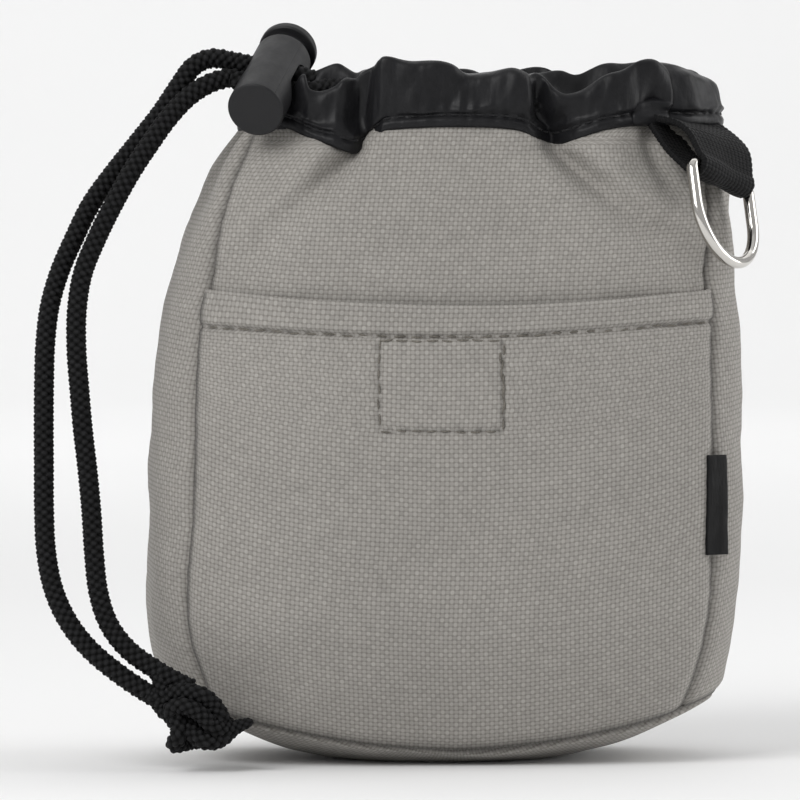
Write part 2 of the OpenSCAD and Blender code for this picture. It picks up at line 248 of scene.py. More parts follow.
class Look:
    """A material with its principled shader, and short ways to add nodes."""

    def __init__(self, name, **sockets):
        self.mat = bpy.data.materials.new(name)
        self.mat.use_nodes = True
        self.tree = self.mat.node_tree
        self.shader = self.tree.nodes["Principled BSDF"]
        for key, value in sockets.items():
            self.shader.inputs[key.replace("_", " ")].default_value = value

    def node(self, kind, inputs=(), out=0, **settings):
        n = self.tree.nodes.new(kind)
        for key, value in settings.items():
            setattr(n, key, value)
        for key, value in dict(inputs).items():
            if isinstance(value, bpy.types.NodeSocket):
                self.tree.links.new(value, n.inputs[key])
            elif value is not None:
                n.inputs[key].default_value = value
        return n.outputs[out]

    def math(self, op, a, b=None, c=None):
        return self.node("ShaderNodeMath", {0: a, 1: b, 2: c}, operation=op)

    def add(self, a, b):
        return self.math("ADD", a, b)

    def mul(self, a, b):
        return self.math("MULTIPLY", a, b)

    def mix(self, fac, a, b):
        return self.node("ShaderNodeMix", {0: fac, 6: a, 7: b}, out=2, data_type="RGBA")

    def scale(self, colour, by):
        start = colour if isinstance(colour, bpy.types.NodeSocket) else colour[:3]
        return self.node("ShaderNodeVectorMath", {0: start, "Scale": by}, operation="SCALE")

    def place(self):
        return self.node("ShaderNodeTexCoord", out=3)

    def xyz(self, vector):
        n = self.tree.nodes.new("ShaderNodeSeparateXYZ")
        self.tree.links.new(vector, n.inputs[0])
        return n.outputs

    def join(self, x, y, z=0.0):
        return self.node("ShaderNodeCombineXYZ", {0: x, 1: y, 2: z})

    def noise(self, vector, scale, detail=2.0, rough=0.5):
        return self.node("ShaderNodeTexNoise",
                         {"Vector": vector, "Scale": scale, "Detail": detail, "Roughness": rough})

    def fit(self, value, a, b, c, d):
        return self.node("ShaderNodeMapRange", {0: value, 1: a, 2: b, 3: c, 4: d})

    def vary(self, noise, low, high):
        """Turn a noise, which mostly stays between 0.3 and 0.7, into a range."""
        return self.fit(noise, 0.3, 0.7, low, high)

    def tagged(self, name):
        return self.node("ShaderNodeAttribute", out=2, attribute_name=name)

    def cloth_uv(self):
        return self.xyz(self.node("ShaderNodeUVMap", uv_map="Cloth"))

    def bump(self, height, mm, strength=1.0, under=None):
        return self.node("ShaderNodeBump",
                         {"Height": height, "Distance": mm * MM, "Strength": strength, "Normal": under})

    def set(self, **links):
        for key, value in links.items():
            self.tree.links.new(value, self.shader.inputs[key.replace("_", " ")])
        return self.mat

    def weave(self, x, y):
        """Plain weave over coordinates in yarns: its height, and how far the weft is on top."""
        sx, sy = (self.math("SINE", self.mul(v, math.pi)) for v in (x, y))
        ax, ay = (self.math("POWER", self.math("ABSOLUTE", v), 0.55) for v in (sx, sy))
        up = self.mul(self.mul(sx, self.math("SIGN", sy)), 0.5)
        over = self.mul(self.mul(sy, self.math("SIGN", sx)), -0.5)
        weft = self.add(up, self.mul(ay, 0.55))
        warp = self.add(over, self.mul(ax, 0.5))
        return self.math("MAXIMUM", weft, warp), self.math("SUBTRACT", weft, warp)


CLOTH_PITCH = 0.98  # mm from yarn to yarn


def cloth_look(name, light, warp, dark):
    """Coarse two-tone plain weave, with painted shade between its yarns and down in the seams."""
    k = Look(name, Roughness=0.85, Specular_IOR_Level=0.15, Sheen_Weight=0.05, Sheen_Roughness=0.5)
    uv = k.cloth_uv()
    where = k.place()
    drift = k.noise(where, 60.0, 2.0)
    x = k.add(k.mul(uv[0], 1 / CLOTH_PITCH), k.mul(drift, 0.9))
    y = k.add(k.mul(uv[1], 1 / CLOTH_PITCH), k.mul(k.noise(where, 55.0, 2.0), 0.9))
    height, top = k.weave(x, y)
    weft_yarn = k.noise(k.join(k.mul(x, 0.3), k.mul(k.math("FLOOR", y), 3.7)), 1.0, 1.0)
    warp_yarn = k.noise(k.join(k.mul(k.math("FLOOR", x), 3.1), k.mul(y, 0.3), 9.0), 1.0, 1.0)
    each = k.noise(k.join(k.math("FLOOR", x), k.math("FLOOR", y), 4.0), 7.3, 0.0)
    fibres = k.noise(k.join(k.mul(x, 2.2), k.mul(y, 9.0), 2.0), 1.0, 2.0)
    colour = k.mix(k.fit(top, -0.25, 0.35, 0.0, 1.0), warp, light)
    # painted shade: the weave's low points, between the yarns, go over to the dark colour
    colour = k.mix(k.fit(height, 0.35, 0.8, 1.0, 0.0), colour, dark)
    bright = k.fit(k.add(weft_yarn, warp_yarn), 0.5, 1.5, 0.9, 1.1)
    bright = k.mul(bright, k.vary(each, 0.96, 1.04))
    bright = k.mul(bright, k.fit(fibres, 0.25, 0.75, 0.94, 1.06))
    bright = k.mul(bright, k.vary(k.noise(where, 22.0, 3.0), 0.96, 1.04))
    crease = k.tagged("crease")
    # painted shade: darker, down to 0.38, where the crease tag says the point lies deep in a seam
    bright = k.mul(bright, k.fit(crease, 0.0, 1.0, 1.0, 0.38))
    bumps = k.bump(k.add(height, k.mul(fibres, 0.12)), 0.22, 0.42)
    rough = k.fit(height, 0.3, 1.0, 0.95, 0.8)
    return k.set(Base_Color=k.scale(colour, bright), Normal=bumps, Roughness=rough)


def nylon_look(name, colour, rough=0.42):
    k = Look(name, Specular_IOR_Level=0.22, Sheen_Weight=0.03, Sheen_Roughness=0.35)
    where = k.place()
    axes = k.xyz(where)
    grain = k.noise(where, 900.0, 2.0, 0.7)
    crease = k.noise(where, 170.0, 4.0, 0.6)
    soft = k.noise(k.join(k.mul(axes[0], 2.4), k.mul(axes[1], 2.4), k.mul(axes[2], 0.7)), 110.0, 3.0)
    bright = k.mul(k.vary(grain, 0.85, 1.18), k.vary(crease, 0.85, 1.15))
    bumps = k.bump(grain, 0.05, 0.5, k.bump(crease, 0.35, 0.5, k.bump(soft, 0.7, 0.6)))
    return k.set(Base_Color=k.scale(colour, bright), Normal=bumps,
                 Roughness=k.vary(crease, rough - 0.05, rough + 0.12))


def yarn_look(name, colour, rough, size):
    k = Look(name, Specular_IOR_Level=0.3, Sheen_Weight=0.15, Sheen_Roughness=0.4)
    where = k.place()
    fibre = k.noise(where, size, 2.0, 0.7)
    patch = k.noise(where, 260.0, 2.0)
    bright = k.mul(k.vary(fibre, 0.65, 1.4), k.vary(patch, 0.85, 1.15))
    return k.set(Base_Color=k.scale(colour, bright), Normal=k.bump(fibre, 0.12, 0.7),
                 Roughness=k.vary(patch, rough - 0.08, rough + 0.08))


def cord_look(name, colour):
    """Braided filament yarn, with fine fibres on its plaits: painted shade between the plaits and painted
    light on their crests.
    """
    k = Look(name, Specular_IOR_Level=0.14, Sheen_Weight=0.03, Sheen_Roughness=0.4)
    where = k.place()
    plait = k.tagged("plait")
    fibre, patch = k.noise(where, 1500.0, 2.0, 0.7), k.noise(where, 260.0, 2.0)
    bright = k.mul(k.vary(fibre, 0.7, 1.35), k.vary(patch, 0.85, 1.15))
    # painted shade and light: colour from 0.1 deep between the plaits up to 1.5 on their crests
    bright = k.mul(bright, k.fit(plait, 0.5, 0.97, 0.1, 1.5))
    return k.set(Base_Color=k.scale(colour, bright), Normal=k.bump(fibre, 0.12, 0.7),
                 Roughness=k.vary(patch, 0.62, 0.78))


def plastic_look(name, colour):
    k = Look(name, Specular_IOR_Level=0.35)
    where = k.place()
    fine, worn = k.noise(where, 2600.0, 2.0, 0.6), k.noise(where, 240.0, 4.0, 0.65)
    bright = k.mul(k.vary(fine, 0.92, 1.08), k.vary(worn, 0.88, 1.14))
    return k.set(Base_Color=k.scale(colour, bright), Normal=k.bump(fine, 0.03, 0.35),
                 Roughness=k.vary(worn, 0.42, 0.58))


def metal_look(name, colour, low, high):
    k = Look(name, Metallic=1.0)
    where = k.place()
    marks, cloud = k.noise(where, 900.0, 3.0, 0.7), k.noise(where, 120.0, 2.0)
    return k.set(Base_Color=k.scale(colour, k.vary(cloud, 0.92, 1.05)),
                 Normal=k.bump(marks, 0.012, 0.3), Roughness=k.fit(marks, 0.35, 0.7, low, high))


def webbing_look(name, colour):
    """Ribbed tape: UV in mm, u across the tape and v along it."""
    k = Look(name, Roughness=0.7, Specular_IOR_Level=0.14, Sheen_Weight=0.03, Sheen_Roughness=0.4)
    uv = k.cloth_uv()
    height, top = k.weave(k.mul(uv[0], 1 / 1.25), k.mul(uv[1], 1 / 0.62))
    fibre = k.noise(k.join(uv[0], k.mul(uv[1], 4.0)), 2.2, 2.0, 0.7)
    # painted shade in the weave's hollows and painted light on its ribs: colour from 0.35 to 1.7 by
    # height
    bright = k.mul(k.fit(height, 0.3, 0.95, 0.35, 1.7), k.vary(fibre, 0.8, 1.25))
    return k.set(Base_Color=k.scale(colour, bright), Normal=k.bump(height, 0.3, 0.9))


# the third grey is painted shade, for the hollows of the weave
GREY_LIGHT, GREY_WARP, GREY_WEAVE_SHADE = srgb(157, 154, 149), srgb(148, 145, 140), srgb(122, 118, 113)
CLOTH = cloth_look("grey_oxford", GREY_LIGHT, GREY_WARP, GREY_WEAVE_SHADE)
NYLON = nylon_look("casing_nylon", srgb(22, 22, 24))
LINING = nylon_look("lining_nylon", srgb(18, 18, 20), 0.5)
CORD = cord_look("cord_braid", srgb(24, 24, 25))
THREAD_GREY = yarn_look("grey_thread", srgb(104, 100, 93), 0.75, 2600.0)
THREAD_BLACK = yarn_look("black_thread", srgb(24, 24, 26), 0.7, 2600.0)
WEBBING = webbing_look("ribbed_webbing", srgb(14, 14, 15))
LABEL = nylon_look("label_satin", srgb(7, 7, 8), 0.6)
PLASTIC = plastic_look("lock_plastic", srgb(20, 20, 22))
CHROME = metal_look("ring_plating", srgb(205, 202, 197), 0.06, 0.14)
STEEL = metal_look("spring_wire", srgb(190, 190, 188), 0.18, 0.3)
HOOKS = yarn_look("hook_tape", srgb(30, 30, 32), 0.85, 1900.0)

# ---------------------------------------------------------------- the bag's surface

BODY_W, BODY_D, SHELL_H = 130.0, 74.0, 139.0
# Level sections. For each: share of the height, shift in x as a share of the width, shares of the
# width and the depth, how square it is, and the angle of the seams from the x axis.
STATIONS = np.array([
    [0.00, 0.000, 0.86, 0.70, 2.8, 22], [0.06, -0.002, 0.90, 0.80, 3.0, 23.5],
    [0.10, -0.004, 0.93, 0.86, 3.1, 24.5], [0.19, -0.008, 0.98, 0.95, 3.2, 24.5],
    [0.40, 0.000, 1.00, 1.00, 3.2, 25.4], [0.56, 0.003, 0.99, 0.99, 3.1, 24.5],
    [0.69, 0.007, 0.97, 0.94, 3.0, 22.8], [0.81, 0.020, 0.94, 0.85, 2.9, 20.5],
    [0.88, 0.030, 0.91, 0.77, 2.8, 18], [0.94, 0.041, 0.88, 0.68, 2.6, 15.5],
    [1.00, 0.051, 0.837, 0.595, 2.4, 13],
])
FOOT_Z = 3.5  # height at which the base's outline is read
SEAM_GAP = -0.4  # the panels' edges pass each other a little, deep in the seam
FRONT, RIGHT, BACK, LEFT = 0, 1, 2, 3


def station(z, column):
    return curve(np.asarray(z, float) / SHELL_H, STATIONS[:, 0], STATIONS[:, column])


def skin_point(phi, z, off=0.0):
    """Point of the bag's plain shape at a plan angle in degrees and a height."""
    phi, z = np.broadcast_arrays(np.radians(phi), np.asarray(z, float))
    a = station(z, 2) * BODY_W / 2 + off
    b = station(z, 3) * BODY_D / 2 + off
    e = station(z, 4)
    r = (np.abs(np.cos(phi) / a) ** e + np.abs(np.sin(phi) / b) ** e) ** (-1 / e)
    return stack(station(z, 1) * BODY_W + r * np.cos(phi), r * np.sin(phi), z)


def skin_normal(phi, z):
    du = skin_point(phi + 0.2, z) - skin_point(phi - 0.2, z)
    return unit(stack(du[..., 1], -du[..., 0], np.zeros(du.shape[:-1])))


def seam_z(phi):
    """Height of the base's seam, which rises towards the two ends."""
    reach = np.abs(skin_point(phi, FOOT_Z)[..., 0]) / (BODY_W * 0.44)
    return 3.9 + 11.6 * np.minimum(1, reach) ** 1.9


def side_phi(side, t, z):
    """Plan angle at a share t of the way across one of the four sides."""
    s = station(z, 5)
    lo = [180 + s, -s, s, 180 - s][side]
    hi = [360 - s, s, 180 - s, 180 + s][side]
    return lo + SEAM_GAP + t * (hi - lo - 2 * SEAM_GAP)


def foot_z(side, t):
    """Where a side's cloth begins, at its seam with the base."""
    return seam_z(side_phi(side, t, FOOT_Z)) + SEAM_GAP


FOLD_TOP = 133.5  # above this the folds run straight up
# Folds below the mouth: side, place at the top, move per mm down, width, widening, depth, where it ends.
FOLDS = [
    (FRONT, -21.1, -0.95, 3.0, 0.16, -5.6, 97), (FRONT, 22.8, 1.1, 3.0, 0.17, -5.6, 96),
    (FRONT, 43.8, 0.45, 2.2, 0.08, -2.8, 112), (FRONT, 1.0, 0.0, 14.0, 0.25, 1.5, 92),
    (FRONT, -29.0, -0.3, 5.0, 0.12, 2.2, 100), (FRONT, 33.0, 0.25, 5.0, 0.12, 2.4, 96),
    (FRONT, -24.0, -0.1, 6.0, 0.15, 1.2, 98), (FRONT, 12.0, 0.9, 5.0, 0.1, 0.8, 100),
    (BACK, -28.0, -0.5, 3.4, 0.14, -3.4, 104), (BACK, -6.0, 0.25, 3.0, 0.12, -3.0, 110),
    (BACK, 17.0, 0.5, 3.2, 0.14, -3.6, 102), (BACK, 40.0, 0.5, 3.2, 0.12, -3.0, 112),
    (BACK, -17.0, -0.1, 7.0, 0.2, 1.4, 100), (BACK, 6.0, 0.1, 7.0, 0.2, 1.3, 98),
    (BACK, 29.0, 0.3, 6.0, 0.2, 1.5, 100),
    (LEFT, -5.0, -0.3, 3.2, 0.14, -2.6, 108), (LEFT, 7.5, 0.3, 3.0, 0.12, -2.2, 112),
    (RIGHT, -6.5, -0.2, 3.0, 0.12, -2.2, 110), (RIGHT, 5.0, 0.3, 3.2, 0.14, -2.6, 106),
]


def relief(phi, z):
    """How far the filled cloth stands off its plain shape: folds from the mouth, and soft waves."""
    p = skin_point(phi, z)
    x, y = p[..., 0], p[..., 1]
    masks = [ramp(-y / 10), ramp((x - 30) / 14), ramp(y / 10), ramp((-x - 30) / 14)]
    total = np.zeros(x.shape)
    for side, c0, slope, width, grow, amp, end in FOLDS:
        down = np.maximum(FOLD_TOP - z, 0)
        c = x if side in (FRONT, BACK) else y
        fade = ramp((z - end) / (SHELL_H - end)) ** 0.8
        total += masks[side] * amp * bell(c - c0 - slope * down, width + grow * down) * fade
    total -= 2.0 * ramp((z - 126) / 13) * bell(np.mod(phi, 360) - 182, 15)  # drawn in under the lock
    calm = 0.55 + 0.45 * ramp((z - 85) / 40)
    total += calm * (0.42 * ripple(p, 42.0, 3) + 0.22 * ripple(p, 17.0, 8) + 0.07 * ripple(p, 6.0, 21))
    return total


def off_skin(phi, z, off):
    return skin_point(phi, z) + skin_normal(phi, z) * np.asarray(off)[..., None]


def panel_uv(P, middle):
    """Cloth coordinates in mm: across from the panel's middle column, and up along it."""
    du = np.linalg.norm(np.diff(P, axis=1), axis=2)
    u = np.concatenate([np.zeros((len(P), 1)), np.cumsum(du, axis=1)], axis=1)
    u = u - u[:, middle:middle + 1]
    v = travel(P[:, middle])[:, None] * np.ones((1, P.shape[1]))
    return stack(u, v)


SEAM_DIVE, SEAM_REACH = 1.7, 1.5


def seam_dive(wide, t, z, seed):
    """How deep a panel's edge turns in beside its seams, with small puckers."""
    d = np.minimum(t, 1 - t) * wide
    pucker = 1 + 0.25 * np.sin(z * 2 * np.pi / 5.2 + 3 * np.sin(z / 9.0 + seed))
    return SEAM_DIVE * bell(d, SEAM_REACH) + 0.35 * pucker * bell(d, 3.6)


def crease(to_side, to_foot):
    """How far a point lies down in a seam, for the painted shade there: 1 at the seam's bottom."""
    return np.maximum(bell(to_side, 0.9), bell(to_foot, 0.9))


def side_width(side, z):
    ends = [skin_point(side_phi(side, t, z), z) for t in (0.0, 0.25, 0.5, 0.75, 1.0)]
    return sum(np.linalg.norm(b - a, axis=-1) for a, b in zip(ends, ends[1:]))


def columns(count):
    """Even shares of the way across, drawn a little closer beside the seams."""
    t = np.linspace(0, 1, count + 1)
    return t - 0.012 * np.sin(2 * np.pi * t)


def wall(name, side):
    step = 0.8
    rows, cols = int(SHELL_H / step), int(side_width(side, np.array(60.0)) / step) // 2 * 2
    t = columns(cols)
    v = np.linspace(0, 1, rows + 1)[:, None]
    foot = foot_z(side, t)
    z = foot + v * (SHELL_H - foot)
    phi = side_phi(side, t[None], z)
    wide = side_width(side, z)
    off = relief(phi, z) - seam_dive(wide, t[None], z, side) * (1 - 0.6 * ramp((z - 131) / 8))
    off = off - 1.1 * bell(z - foot, 1.3) - under_casing(phi, z)
    P = off_skin(phi, z, off)
    obj = grid(name, P, "pouch", CLOTH, panel_uv(P, cols // 2))
    # painted shade in the seams, read by the cloth's material
    tag(obj, "crease", crease(np.minimum(t, 1 - t) * wide, z - foot))
    return thick(obj, 0.9)


# The base: an oval panel sewn in all round, with its flat on the floor.
def base_cloth():
    phi = np.arange(0, 360, 1.0)
    rim = off_skin(phi, seam_z(phi), relief(phi, seam_z(phi)) * 0.7 - 0.1)
    flat = stack(np.cos(np.radians(phi)) * 25, np.sin(np.radians(phi)) * 17, 0 * phi)
    share = np.concatenate([np.linspace(0.02, 0.9, 34), np.linspace(0.915, 1, 12)])
    s = share[:, None, None]
    P = flat * (1 - s) + rim * s
    P[..., 2] = (seam_z(phi) - 1) * s[..., 0] ** 1.4
    edge = np.linalg.norm(rim - flat, axis=-1) * (1 - s[..., 0])
    tuck = 1.5 * bell(edge, 1.3)
    P = P - unit(rim * [1, 1, 0])[None] * tuck[..., None]
    P[..., 2] += 0.25 * ripple(P, 26.0, 5) * ramp(P[..., 2] / 3) + 0.9 * bell(edge, 1.0)
    inner = np.linspace(0.0, 0.98, 14)[:, None, None] * P[0][None]
    P = np.concatenate([inner, P])
    P[..., 2] = np.maximum(P[..., 2], 0.0)
    steps = np.linalg.norm(np.diff(P, axis=0), axis=-1)
    out = np.concatenate([np.zeros((1, len(phi))), np.cumsum(steps, axis=0)])
    uv = (unit(P[1:2] * [1, 1, 0]) * (out[..., None] + 0.01))[..., :2]
    obj = ringed("base_cloth", P[1:], CLOTH, uv[1:])
    to_rim = np.concatenate([np.full((len(inner), len(phi)), 50.0), edge])[1:]
    # painted shade along the base's seam
    tag(obj, "crease", bell(to_rim, 0.9))
    return thick(obj, 0.9)


base_obj = base_cloth()
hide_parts("base_panel")


# The lining: loose thin nylon inside the cloth.
def lining():
    phi = np.arange(0, 360, 2.0)
    z = np.linspace(0, 1, 80)[:, None]
    foot = seam_z(phi) + 2
    zz = foot + z * (SHELL_H - 0.5 - foot)
    base = off_skin(phi[None], zz, 0 * zz)
    wrinkle = 1.6 + 0.9 * np.abs(ripple(base, 26.0, 31)) + 0.4 * np.abs(ripple(base, 9.0, 32))
    # it lies further in behind the seams, over the turned-in edges of the cloth
    for side in (FRONT, RIGHT, BACK, LEFT):
        away = np.linalg.norm(base - skin_point(side_phi(side, 0.0, zz), zz), axis=-1)
        wrinkle = wrinkle + 1.5 * bell(away, 3.6)
    P = off_skin(phi[None], zz, np.minimum(relief(phi[None], zz), 0.6) - wrinkle)
    s = np.array([0.05, 0.3, 0.55, 0.8, 0.95])[:, None, None]
    low = P[0][None] * s
    low[..., 2] = 1.7 + (foot - 2) * s[..., 0] ** 1.4 + 0.3 * np.abs(ripple(low, 22.0, 33))
    P = np.concatenate([low, P])
    return thick(ringed("lining_bag", P, LINING), 0.3)


lining_obj = lining()
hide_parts("lining")

# ---------------------------------------------------------------- the pocket

# Heights of the hem's stitch line and of the pocket's edge, at places across.
HEM_X = [-62, -53, -33.6, -12.2, 9.3, 31, 55.1, 64]
HEM_Z = [95.6, 95.1, 94.0, 93.15, 93.25, 94.4, 96.0, 96.4]
TOP_X = [-62, -53, -33.5, -12.1, 13.7, 31.1, 55.3, 64]
TOP_Z = [103.4, 103.0, 101.2, 100.1, 100.0, 100.9, 102.9, 103.4]
RECT = (-16.5, 9.9, 72.9, 93.1)  # the stitched rectangle: left, right, low, high
STITCH = 3.9  # mm from stitch to stitch


def stitch_line(x, z, width):
    """1 on the pocket's stitch lines, the hem's and the rectangle's, and 0 away from them."""
    x0, x1, z0, z1 = RECT
    rim_x = np.minimum(np.abs(x - x0), np.abs(x - x1)) + 9 * (1 - ramp((z - z0 + 1)) * ramp(z1 + 1 - z))
    rim_z = np.abs(z - z0) + 9 * (1 - ramp(x - x0 + 1) * ramp(x1 + 1 - x))
    return bell(np.minimum(np.minimum(rim_x, rim_z), np.abs(z - curve(x, HEM_X, HEM_Z))), width)


def pocket_offset(phi, z, t):
    """How far the pocket's cloth stands off the bag's plain shape."""
    p = skin_point(phi, z)
    x = p[..., 0]
    hem, top = curve(x, HEM_X, HEM_Z), curve(x, TOP_X, TOP_Z)
    off = relief(phi, z) * 0.8 + 1.1 + 1.3 * ramp(4.5 * t) * ramp(4.5 * (1 - t)) * ramp((z - 4) / 30)
    off = off - seam_dive(side_width(FRONT, z), t, z, 7) - 1.1 * bell(z - seam_z(phi), 1.3)
    near = ramp(5 * t) * ramp(5 * (1 - t))
    # the hem: two layers of cloth above the stitch line, its lip standing away from the bag
    off = off + 0.55 * ramp((z - hem) / 1.2) + 0.8 * near * ramp((z - hem - 2) / (top - hem - 2))
    holes = 0.5 + 0.5 * np.cos(2 * np.pi * (x + z) / STITCH)
    off = off - (0.4 + 0.45 * holes) * stitch_line(x, z, 0.85)
    off = off + 0.12 * np.sin(2 * np.pi * x / (2.7 * STITCH)) * bell(z - hem - 3.5, 3.0)
    # the stitched rectangle
    x0, x1, z0, z1 = RECT
    inside = ramp((x - x0 + 1) / 2) * ramp((x1 + 1 - x) / 2)
    inside = inside * ramp((z - z0 + 1) / 2) * ramp((z1 + 1 - z) / 2)
    return off + 0.25 * inside


def pocket():
    cols = 170
    t = columns(cols)
    x = skin_point(side_phi(FRONT, t, 95.0), 95.0)[:, 0]
    hem, top = curve(x, HEM_X, HEM_Z), curve(x, TOP_X, TOP_Z)
    foot = foot_z(FRONT, t)
    spans = [  # from, to, rows
        (foot, foot + 66, 82), (foot + 66, hem - 1.5, 26),
        (hem - 1.5, hem + 1.5, 16), (hem + 1.5, top - 0.9, 9),
    ]
    z = np.concatenate([
        a + np.linspace(0, 1, n, endpoint=k == len(spans) - 1)[:, None] * (b - a)
        for k, (a, b, n) in enumerate(spans)
    ])
    phi = side_phi(FRONT, t[None], z)
    P = off_skin(phi, z, pocket_offset(phi, z, t[None]))
    # the top edge rolls over and down the inside
    n = skin_normal(phi[-1], z[-1])
    roll = np.radians(np.arange(20, 181, 20))[:, None, None]
    R = 0.95
    over = P[-1] - n * R + n * R * np.cos(roll) + arr(0, 0, 1) * R * np.sin(roll)
    down = over[-1] - arr(0, 0, 1) * np.linspace(0.8, 8.5, 9)[:, None, None]
    P = np.concatenate([P, over, down])
    obj = grid("pocket_cloth", P, "pouch", CLOTH, panel_uv(P, cols // 2) + [0.35, 0.2])
    # painted shade: in the seams, and in the stitch holes along the hem and round the rectangle
    deep = crease(np.minimum(t, 1 - t) * side_width(FRONT, z), z - foot)
    across = skin_point(phi, z)[..., 0]
    holes = (0.5 + 0.5 * np.cos(2 * np.pi * (across + z) / STITCH)) ** 3
    deep = np.maximum(deep, (0.25 + 0.5 * holes) * stitch_line(across, z, 0.4))
    tag(obj, "crease", np.concatenate([deep, np.zeros((len(P) - len(deep), cols + 1))]))
    return thick(obj, 0.75)


pocket_obj = pocket()
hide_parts("pocket_panel")


def pocket_at(x, z, lift):
    """Points on the pocket's face and the way out of it."""
    x, z = np.broadcast_arrays(np.asarray(x, float), np.asarray(z, float))
    low, high = np.full(x.shape, 181.0), np.full(x.shape, 359.0)
    for _ in range(24):
        phi = (low + high) / 2
        before = skin_point(phi, z)[..., 0] < x
        low, high = np.where(before, phi, low), np.where(before, high, phi)
    s = station(z, 5)
    t = (phi - 180 - s) / (180 - 2 * s)
    return off_skin(phi, z, pocket_offset(phi, z, t) + lift), skin_normal(phi, z)


def stitches(line, normals, pitch, long, wire, sink=0.5, rise=0.3, wobble=0.0, seed=0):
    """Tubes for running stitches along a line of points: each rises out of the cloth and dives again."""
    r = np.random.default_rng(seed)
    along = travel(line)
    share = np.linspace(0, 1, 9)
    arch = np.sin(np.pi * share) ** 0.6
    parts = []
    for start in np.arange(0.2, along[-1] - long, pitch):
        s = start + share * long * r.uniform(0.93, 1.04)
        p = read_at(line, along, s)
        n = unit(read_at(normals, along, s))
        side = unit(np.cross(n, np.gradient(p, axis=0)))
        aside = r.normal() * wobble
        slant = r.normal() * wobble * np.linspace(-1, 1, 9)
        p = p + n * (arch * (rise + sink) - sink)[:, None] + side * (aside + slant)[:, None]
        radius = wire / 2 * (0.75 + 0.25 * arch)
        parts.append(tube_grid(p, radius, 8, n[0]))
    return parts


def seam_run(x0, x1, z0, z1):
    s = np.linspace(0, 1, 200)
    return pocket_at(x0 + (x1 - x0) * s, z0 + (z1 - z0) * s, 0.0)


s = np.linspace(-53.2, 57.2, 700)
hem_line = pocket_at(s, curve(s, HEM_X, HEM_Z), 0.0)
parts = stitches(*hem_line, STITCH, 3.2, 0.5, rise=0.14, wobble=0.12, seed=4)
obj = joined("pocket_hem_stitches", parts, "pouch", THREAD_GREY)
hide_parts("pocket_hem_thread")

x0, x1, z0, z1 = RECT
parts = []
for k, run in enumerate([
    (x0, x1, z1 - 0.9, z1 - 0.7), (x0, x0 - 0.3, z1, z0),
    (x0 - 0.2, x1, z0, z0 - 0.2), (x1, x1 + 0.2, z0, z1), (x1 - 0.8, x1 + 0.6, z1 - 3, z0 + 4),
]):
    parts += stitches(*seam_run(*run), 3.3, 2.9, 0.45, rise=0.2, wobble=0.12, seed=20 + k)
obj = joined("patch_stitches", parts, "pouch", THREAD_GREY)
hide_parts("patch_thread")

# Hook and loop tape behind the stitched rectangle, in the pocket's mouth.
tapes = ("loop_tape", "pocket_loop_patch", -2.4), ("hook_tape", "pocket_hook_patch", -1.5)
for name, node, lift in tapes:
    gx, gz = np.meshgrid(np.linspace(x0 + 0.5, x1 - 0.5, 40), np.linspace(z0 + 0.5, z1 - 1.5, 30))
    P, n = pocket_at(gx, gz, lift)
    rows = 0.16 * np.sin(gx * 4.6) * np.sin(gz * 4.2)
    obj = grid(name, P + n * rows[..., None], "pouch", HOOKS)
    thick(obj, 0.6)
    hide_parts(node)

# ---------------------------------------------------------------- the casing

ROUND = np.linspace(181.0, 359.0, 1800)
ROUND_X = skin_point(ROUND, np.full(ROUND.shape, SHELL_H))[:, 0]


def front_phi(x):
    """Plan angle of the front's point at x, at the mouth."""
    return float(np.interp(x, ROUND_X, ROUND))


